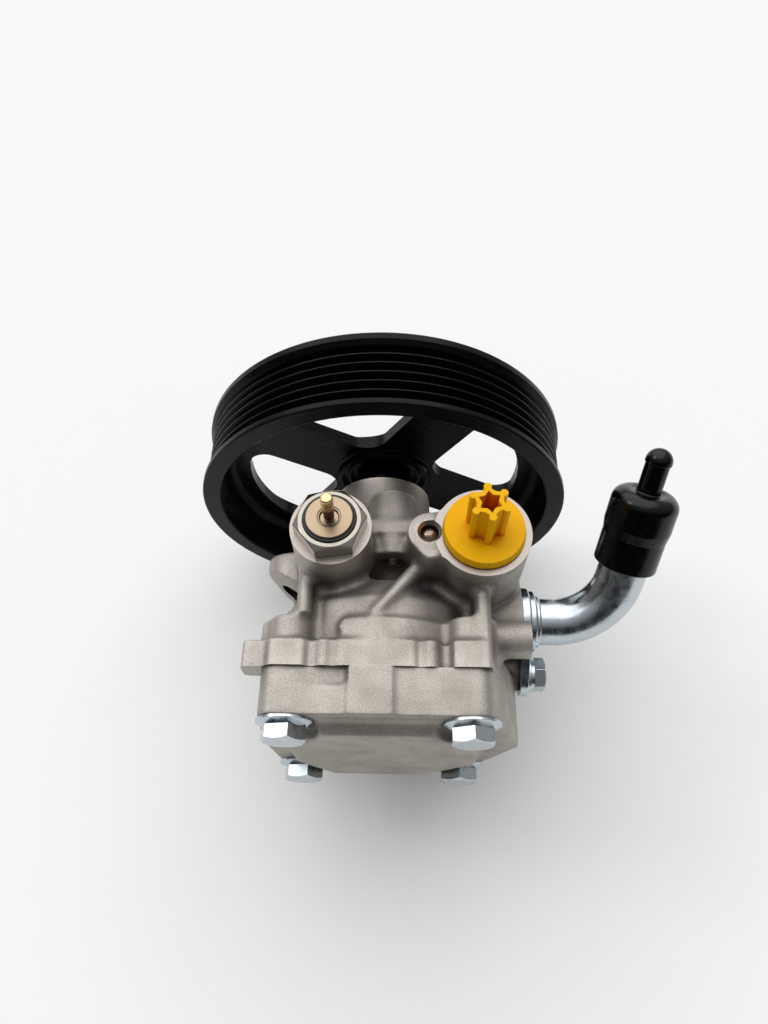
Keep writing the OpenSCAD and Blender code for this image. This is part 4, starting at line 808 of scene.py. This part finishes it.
class PUMP_OT_pulley(bpy.types.Operator):
    """Turns the six ribbed pulley and pierces its windows"""
    bl_idname = "pump.pulley"
    bl_label = "Pulley"

    def execute(self, context):
        s = context.scene.pump_pulley
        low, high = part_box("pulley")
        shaft_r = middle("drive_shaft")[1].z
        track = s.grooves * s.pitch / 2
        edge, fine = s.edge_round, s.groove_round
        half = s.pitch / 2 - s.crest_flat / 2
        profile = [(s.inner_r, s.web_rear, s.web_round), (s.inner_r, low.y, edge), (s.outer_r, low.y, edge),
                   (s.outer_r, -track - s.rear_drop, fine)]
        for k in range(s.grooves):
            groove = -track + (k + 0.5) * s.pitch
            profile += [(s.crest_r, groove - half, fine), (s.root_r, groove - s.crest_flat, fine),
                        (s.root_r, groove + s.crest_flat, fine), (s.crest_r, groove + half, fine)]
        step_r = s.hub_r - 2 * s.ring_w
        profile += [(s.outer_r, track + s.front_drop, fine), (s.outer_r, high.y, edge),
                    (s.inner_r, high.y, edge), (s.inner_r, s.web_front, s.web_round),
                    (s.hub_r + s.web_round, s.web_front, s.web_round),
                    (s.boss_r, s.hub_front, edge), (shaft_r, s.hub_front, fine), (shaft_r, s.hub_rear, fine),
                    (s.sleeve_r, s.hub_rear, fine), (s.sleeve_r, s.web_rear + s.dish, edge),
                    (s.dish_r - s.dish / 2, s.web_rear + s.dish, fine),
                    (s.dish_r, s.web_rear - s.step_h, fine), (step_r, s.web_rear - s.step_h, fine),
                    (step_r, s.web_rear, fine),
                    (s.hub_r - s.ring_w, s.web_rear, fine), (s.hub_r - s.ring_w, s.web_rear - s.ring_h, fine),
                    (s.hub_r - s.ring_w / 3, s.web_rear - s.ring_h, fine), (s.hub_r, s.web_rear, edge)]
        bm = bmesh.new()
        turned(bm, rounded(profile, 4), along(Vector(), Y_AXIS), steps=240)
        wheel = mesh_object("belt_pulley", bm)
        cutters = []
        far, over, arc = s.window_r - s.corner_r, 1 * MM, 8
        discs = [(s.window_tip, 0, s.window_tip_r)]
        for k in range(arc + 1):
            a = s.corner_turn * (2 * k / arc - 1)
            discs.append((far * math.cos(a), far * math.sin(a), s.corner_r))
        for k in range(s.windows):
            bm = bmesh.new()
            for x, z, radius in discs:
                rod(bm, (x, s.web_rear - over, z), (x, s.web_front + over, z), radius, segments=48)
            wrapped(bm, 0.2)
            bmesh.ops.rotate(bm, cent=(0, 0, 0), verts=bm.verts,
                             matrix=Matrix.Rotation(-s.window_turn - k * math.tau / s.windows, 3, "Y"))
            bmesh.ops.recalc_face_normals(bm, faces=bm.faces)
            cutters.append(cutter_object("window", bm, 0))
        carve(wheel, cutters)
        bm = bmesh.new()
        bm.from_mesh(wheel.data)
        whole_flats(bm, 0.1)
        # A window's mouth is where its wall meets the flat web
        mouths, wall_y, web_y = [], 0.02, 0.98
        for rim in bm.edges:
            flat = sorted(abs(f.normal.y) for f in rim.link_faces)
            if len(flat) == 2 and flat[0] < wall_y and flat[1] > web_y \
                    and all(s.hub_r + over < v.co.xz.length < s.window_r + over for v in rim.verts):
                mouths.append(rim)
        soften(bm, mouths, s.window_round)
        bm.to_mesh(wheel.data)
        bm.free()
        placed(wheel, "rotating_group", ["pulley"], ["satin_black_paint"], angle=30)
        return {"FINISHED"}


def pipe_axis(s):
    """Y and Z of the pipe's straight start."""
    found = mount("suction_end")[0]
    rise = s.bend_r * (1 - math.cos(s.bend)) + (s.bare + s.covered) * math.sin(s.bend)
    return found.y - rise * math.sin(s.lean), found.z - rise * math.cos(s.lean)


def bend_direction(s):
    """Direction of the pipe behind its bend."""
    side = math.sin(s.bend)
    return Vector((math.cos(s.bend), side * math.sin(s.lean), side * math.cos(s.lean)))


def pipe_end(s):
    """End of the pipe's bend and the direction that it leaves in."""
    direction = bend_direction(s)
    return mount("suction_end")[0] - direction * (s.bare + s.covered), direction


def drawn(bm, edges, way):
    """Draws a ring of edges out into a tube."""
    made = bmesh.ops.extrude_edge_only(bm, edges=edges)["geom"]
    bmesh.ops.translate(bm, verts=only(made, BMVert), vec=way)
    return [e for e in only(made, BMEdge) if len(e.link_faces) == 1]


class PUMP_OT_pipe(bpy.types.Operator):
    """Bends the suction pipe, beads it and cuts its plate"""
    bl_idname = "pump.pipe"
    bl_label = "Suction pipe"

    def execute(self, context):
        s = context.scene.pump_pipe
        plate_low, plate_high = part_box("suction_plate")
        face = plate_high.x
        centre = Vector((0, *pipe_axis(s)))
        bolt = middle("suction_bolt")[0]
        bm = bmesh.new()
        bmesh.ops.create_circle(bm, cap_ends=False, segments=64, radius=s.pipe_r,
                                matrix=along(centre + X_AXIS * (plate_low.x - s.spigot), X_AXIS))
        ring = list(bm.edges)
        lift = Vector((0, math.sin(s.lean), math.cos(s.lean)))
        ring = drawn(bm, ring, X_AXIS * (face + s.lead - plate_low.x + s.spigot))
        bent = bmesh.ops.spin(bm, geom=ring, cent=centre + X_AXIS * (face + s.lead) + lift * s.bend_r,
                              axis=-X_AXIS.cross(lift), angle=-s.bend, steps=40)
        drawn(bm, only(bent["geom_last"], BMEdge), pipe_end(s)[1] * (s.bare + s.covered))
        bmesh.ops.remove_doubles(bm, verts=bm.verts, dist=MERGE)
        bmesh.ops.recalc_face_normals(bm, faces=bm.faces)
        bmesh.ops.solidify(bm, geom=bm.faces, thickness=s.wall)
        root, fine = 0.1 * MM, 0.35 * MM
        foot = s.pipe_r - root
        turned(bm, rounded([(foot, face, 0), (s.bead_r, face, fine), (s.bead_r, face + s.bead_w, 2 * fine),
                            (s.bead_r - s.bead_step, face + s.bead_w, fine),
                            (s.bead_r - s.bead_step, face + s.bead_w + s.bead_step, 2 * fine),
                            (foot, face + s.bead_w + s.bead_step, 0)]), along(centre, X_AXIS))
        placed(mesh_object("bent_pipe", bm), "housing", ["suction_pipe"], ["bright_zinc"])

        bm = bmesh.new()
        for place, radius in ((centre, s.plate_r), (bolt, s.plate_tip_r)):
            rod(bm, (plate_low.x, place.y, place.z), (face, place.y, place.z), radius, segments=72)
        wrapped(bm, 0.5)
        bmesh.ops.recalc_face_normals(bm, faces=bm.faces)
        soften(bm, sharp_edges(bm), s.plate_round)
        plate = mesh_object("pipe_plate", bm)
        holes, over = [], 1 * MM
        for place, radius in ((centre, s.pipe_r + s.plate_fit), (bolt, s.bolt_hole_r)):
            bm = bmesh.new()
            rod(bm, (plate_low.x - over, place.y, place.z), (face + over, place.y, place.z), radius,
                segments=72)
            holes.append(cutter_object("hole", bm, 0))
        carve(plate, holes)
        placed(plate, "housing", ["suction_plate"], ["bright_zinc"], angle=30)
        return {"FINISHED"}


class PUMP_OT_cap(bpy.types.Operator):
    """Moulds the transport cap of the suction pipe"""
    bl_idname = "pump.cap"
    bl_label = "Transport cap"

    def execute(self, context):
        s = context.scene.pump_pipe
        start, way = pipe_end(s)
        inner = s.pipe_r + s.play
        stem_end = s.cap_len + s.stem - s.tip_h
        fine, bulb = 0.5 * MM, 0.98 * s.tip_r
        tip = s.cap_len + s.stem
        bm = bmesh.new()
        turned(bm, rounded([(inner, 0, fine), (s.skirt_r, 0, fine), (s.skirt_r, s.skirt, 5 * fine),
                            (s.cap_r, s.skirt + s.flare, 5 * fine), (s.cap_r, s.cap_len, s.shoulder),
                            (s.dish_r, s.cap_len, fine), (s.stem_r, s.cap_len - s.dish, fine),
                            (s.stem_r, stem_end, fine / 2), (s.tip_r, stem_end, fine / 2),
                            (s.tip_r, tip - s.tip_r, 0), (s.tip_r, tip, bulb), (0, tip, 0),
                            (0, s.covered + s.play, 0), (inner, s.covered + s.play, fine)], 8),
               along(start + way * s.bare, way))
        placed(mesh_object("transport_cap", bm), "cap", ["pipe_cap"], ["plasticised_vinyl"],
               angle=50)
        return {"FINISHED"}


class PUMP_OT_switch(bpy.types.Operator):
    """Turns the switch's disc and its ringed terminal pin"""
    bl_idname = "pump.switch"
    bl_label = "Pressure switch"

    def execute(self, context):
        s = context.scene.pump_switch
        disc_low, disc_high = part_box("switch_insulator")
        pin_low, pin_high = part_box("switch_terminal")
        place = Matrix.Translation(((pin_low.x + pin_high.x) / 2, (pin_low.y + pin_high.y) / 2, 0))
        top, fine, gap = disc_high.z, 0.25 * MM, 0.05 * MM
        lip = s.well_r + 2.5 * fine
        bm = bmesh.new()
        turned(bm, rounded([(s.neck_r, disc_low.z, 0), (s.disc_r, disc_low.z, fine),
                            (s.disc_r, top, 1.5 * fine), (lip, top, fine), (lip - fine, top - fine, fine),
                            (s.well_r, top - fine, fine), (s.well_r - fine, top - s.well, fine),
                            (s.neck_r, top - s.well, 0)]), place)
        placed(mesh_object("switch_disc", bm), "housing", ["switch_insulator"], ["tinned_brass"],
               angle=30)
        bm = bmesh.new()
        wide, mid = s.pin_r, (s.pin_r + s.neck_r) / 2
        profile = [(0, pin_low.z, 0), (s.neck_r, pin_low.z, 0), (s.neck_r, top + gap, 0)]
        z = top + 2 * gap
        # The pin's rings from the disc up: radius, and height in millimetres
        for radius, tall in ((mid, 0.8), (mid, 0.8), (mid, 0.9), (wide, 1)):
            ring_top = z + tall * MM
            profile += [(radius, z, fine), (radius, ring_top, fine), (s.neck_r, ring_top, 0),
                        (s.neck_r, ring_top + s.neck, 0)]
            z = ring_top + s.neck
        profile += [(wide, z, fine), (wide, pin_high.z, 3 * fine), (0, pin_high.z, 0)]
        turned(bm, rounded(profile, 4), place, steps=48)
        placed(mesh_object("switch_pin", bm), "housing", ["switch_terminal"],
               ["turned_brass"], angle=30)
        return {"FINISHED"}


# Piece, CAD node, body, slot, finish, and the rounding of its edges in millimetres
SMALL_PIECES = (
    ("cover_bolt_set", "cover_bolts", "housing", "zinc_plate", "bright_zinc", 0.35),
    ("switch_hexagon", "switch_body", "housing", "nickel", "nickel_plate", 0.35),
    ("switch_rubber", "switch_ring", "housing", "seal_rubber", "nitrile_rubber", 0.2),
    ("pressed_ball", "gallery_ball", "housing", "ball_steel", "bearing_steel", 0),
    ("pipe_bolt", "suction_bolt", "housing", "zinc_plate", "bright_zinc", 0.3),
    ("flat_washer", "suction_flat_washer", "housing", "zinc_plate", "bright_zinc", 0.2),
    ("spring_washer", "suction_spring_washer", "housing", "zinc_plate", "bright_zinc", 0.15),
    ("transport_plug", "outlet_plug", "plug", "yellow_plastic", "yellow_polyethylene", 0.35),
)


class PUMP_OT_small_pieces(bpy.types.Operator):
    """Rounds and finishes the bolts, washers, switch hexagon, ball and plug"""
    bl_idname = "pump.small_pieces"
    bl_label = "Small pieces"

    def execute(self, context):
        for name, node, body, slot, material, edge in SMALL_PIECES:
            bm = copied(node)
            if edge:
                soften(bm, sharp_edges(bm), edge * MM)
            placed(mesh_object(name, bm), body, [node], [material])
        return {"FINISHED"}


# The nodes inside the pump that have each finish
INNER_FINISHES = {
    "hardened_steel": ("drive_shaft", "rotor", "vanes", "rotor_ring", "cam_ring", "side_plate", "dowel_pins",
                       "valve_seat", "valve_spool", "switch_plunger", "seal_spring"),
    "sintered_bronze": ("front_bush", "rear_bush"),
    "nitrile_rubber": ("shaft_seal", "cover_seal", "outer_plate_seal", "inner_plate_seal", "suction_seal"),
}


class PUMP_OT_inner_parts(bpy.types.Operator):
    """Gives the parts inside the pump their finishes"""
    bl_idname = "pump.inner_parts"
    bl_label = "Inner parts"

    def execute(self, context):
        for name, nodes in INNER_FINISHES.items():
            for node in nodes:
                for place in frame["nodes"][node].material_slots:
                    place.material = finish(name)
        return {"FINISHED"}


class PUMP_OT_springs(bpy.types.Operator):
    """Copies the springs that the joints deform from their CAD nodes, and finishes them in hardened steel"""
    bl_idname = "pump.springs"
    bl_label = "Springs"

    def execute(self, context):
        for joint in frame["joints"]:
            for coil in joint.get("deforming_nodes", []):
                node = coil["node"]
                spring = mesh_object(node + "_coil", copied(node, False))
                placed(spring, "housing", [node], ["hardened_steel"])
                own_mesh(spring)
        return {"FINISHED"}


class PUMP_OT_stage(bpy.types.Operator):
    """Sets up the pale floor, the soft light and the camera"""
    bl_idname = "pump.stage"
    bl_label = "Stage"

    def execute(self, context):
        scene = context.scene
        studio = scene.pump_studio
        bm = bmesh.new()
        bmesh.ops.create_grid(bm, x_segments=1, y_segments=1, size=studio.floor_half,
                              matrix=Matrix.Translation((0, 0, CAD_BOX[0].z)))
        floor = mesh_object("studio_floor", bm)
        material, tree, shader = new_material("matt_paper", scene.pump_finishes.floor, 0.0, 0.9)
        fibre_mm = 3
        place = add(tree, "TexCoord").outputs["Object"]
        fibre = add(tree, "TexNoise", {"Vector": place}, {"Scale": 1 / (fibre_mm * MM), "Detail": 2.0})
        bump = add(tree, "Bump", {"Height": fibre.outputs["Fac"]}, {"Strength": 0.02, "Distance": 0.02 * MM})
        tree.links.new(bump.outputs[0], shader.inputs["Normal"])
        floor.data.materials.append(material)

        world = bpy.data.worlds.new("studio")
        world.use_nodes = True
        tree = world.node_tree
        place = add(tree, "TexCoord").outputs["Generated"]
        brightest = (0, math.sin(studio.sun_tilt), math.cos(studio.sun_tilt))
        parts = add(tree, "VectorMath", {0: place}, {1: brightest}, operation="DOT_PRODUCT")
        glow = add(tree, "MapRange", {"Value": parts.outputs["Value"]},
                   {"From Min": 0.0, "From Max": 0.95, "To Min": studio.horizon, "To Max": studio.zenith})
        # The backdrop itself stays pale behind the pump, whatever light it gives
        shown = add(tree, "Mix", {0: add(tree, "LightPath").outputs["Is Camera Ray"], 2: glow.outputs[0]},
                    {3: studio.backdrop}, data_type="FLOAT")
        tree.links.new(shown.outputs[0], tree.nodes["Background"].inputs["Strength"])
        tree.nodes["Background"].inputs["Color"].default_value = scene.pump_finishes.sky
        scene.world = world

        for name, strength, angle, tilt, side in (
                ("softbox", studio.sun, studio.sun_angle, studio.sun_tilt, studio.sun_side),
                ("small_light", studio.glint, studio.glint_angle, studio.glint_tilt, studio.glint_side)):
            lamp = bpy.data.lights.new(name, "SUN")
            lamp.energy = strength
            lamp.angle = angle
            light = bpy.data.objects.new(name, lamp)
            light.rotation_euler = (-tilt, -side, 0)
            scene.collection.objects.link(light)

        ahead = Vector((math.sin(studio.yaw) * math.cos(studio.pitch),
                        math.cos(studio.yaw) * math.cos(studio.pitch), -math.sin(studio.pitch)))
        right = Vector((math.cos(studio.yaw), -math.sin(studio.yaw), 0))
        down = ahead.cross(right)
        across = math.cos(studio.roll) * right + math.sin(studio.roll) * down
        below = -math.sin(studio.roll) * right + math.cos(studio.roll) * down
        lens = bpy.data.cameras.new("view")
        lens.lens = studio.lens
        lens.clip_start = 10 * MM
        camera = bpy.data.objects.new("view", lens)
        aim = Matrix((across, -below, -ahead)).transposed().to_4x4()
        camera.matrix_world = Matrix.Translation(studio.camera) @ aim
        scene.collection.objects.link(camera)
        scene.camera = camera
        scene.view_settings.view_transform = "Standard"
        return {"FINISHED"}


OPERATORS = (PUMP_OT_castings, PUMP_OT_pulley, PUMP_OT_pipe, PUMP_OT_cap, PUMP_OT_switch,
             PUMP_OT_small_pieces, PUMP_OT_inner_parts, PUMP_OT_springs, PUMP_OT_stage)


class PUMP_PT_panel(bpy.types.Panel):
    """Lists the pump's pieces"""
    bl_label = "Power steering pump"
    bl_space_type = "VIEW_3D"
    bl_region_type = "UI"
    bl_category = "Pump"

    def draw(self, context):
        for operator in OPERATORS:
            self.layout.operator(operator.bl_idname)


GROUPS = {"pump_castings": CastingSizes, "pump_pulley": PulleySizes, "pump_pipe": PipeSizes,
          "pump_switch": SwitchSizes, "pump_finishes": Finishes, "pump_studio": StudioSizes}


def register():
    """Adds the pump's sizes, operators and panel to Blender."""
    for group in GROUPS.values():
        bpy.utils.register_class(group)
    for name, group in GROUPS.items():
        setattr(bpy.types.Scene, name, PointerProperty(type=group))
    for kind in OPERATORS + (PUMP_PT_panel,):
        bpy.utils.register_class(kind)


def unregister():
    """Takes them out again."""
    for kind in reversed(OPERATORS + (PUMP_PT_panel,)):
        bpy.utils.unregister_class(kind)
    for name in GROUPS:
        delattr(bpy.types.Scene, name)
    for group in reversed(GROUPS.values()):
        bpy.utils.unregister_class(group)


def main():
    """Builds every piece in order."""
    register()
    bpy.ops.pump.castings()
    bpy.ops.pump.pulley()
    bpy.ops.pump.pipe()
    bpy.ops.pump.cap()
    bpy.ops.pump.switch()
    bpy.ops.pump.small_pieces()
    bpy.ops.pump.inner_parts()
    bpy.ops.pump.springs()
    bpy.ops.pump.stage()


if __name__ == "__main__":
    main()
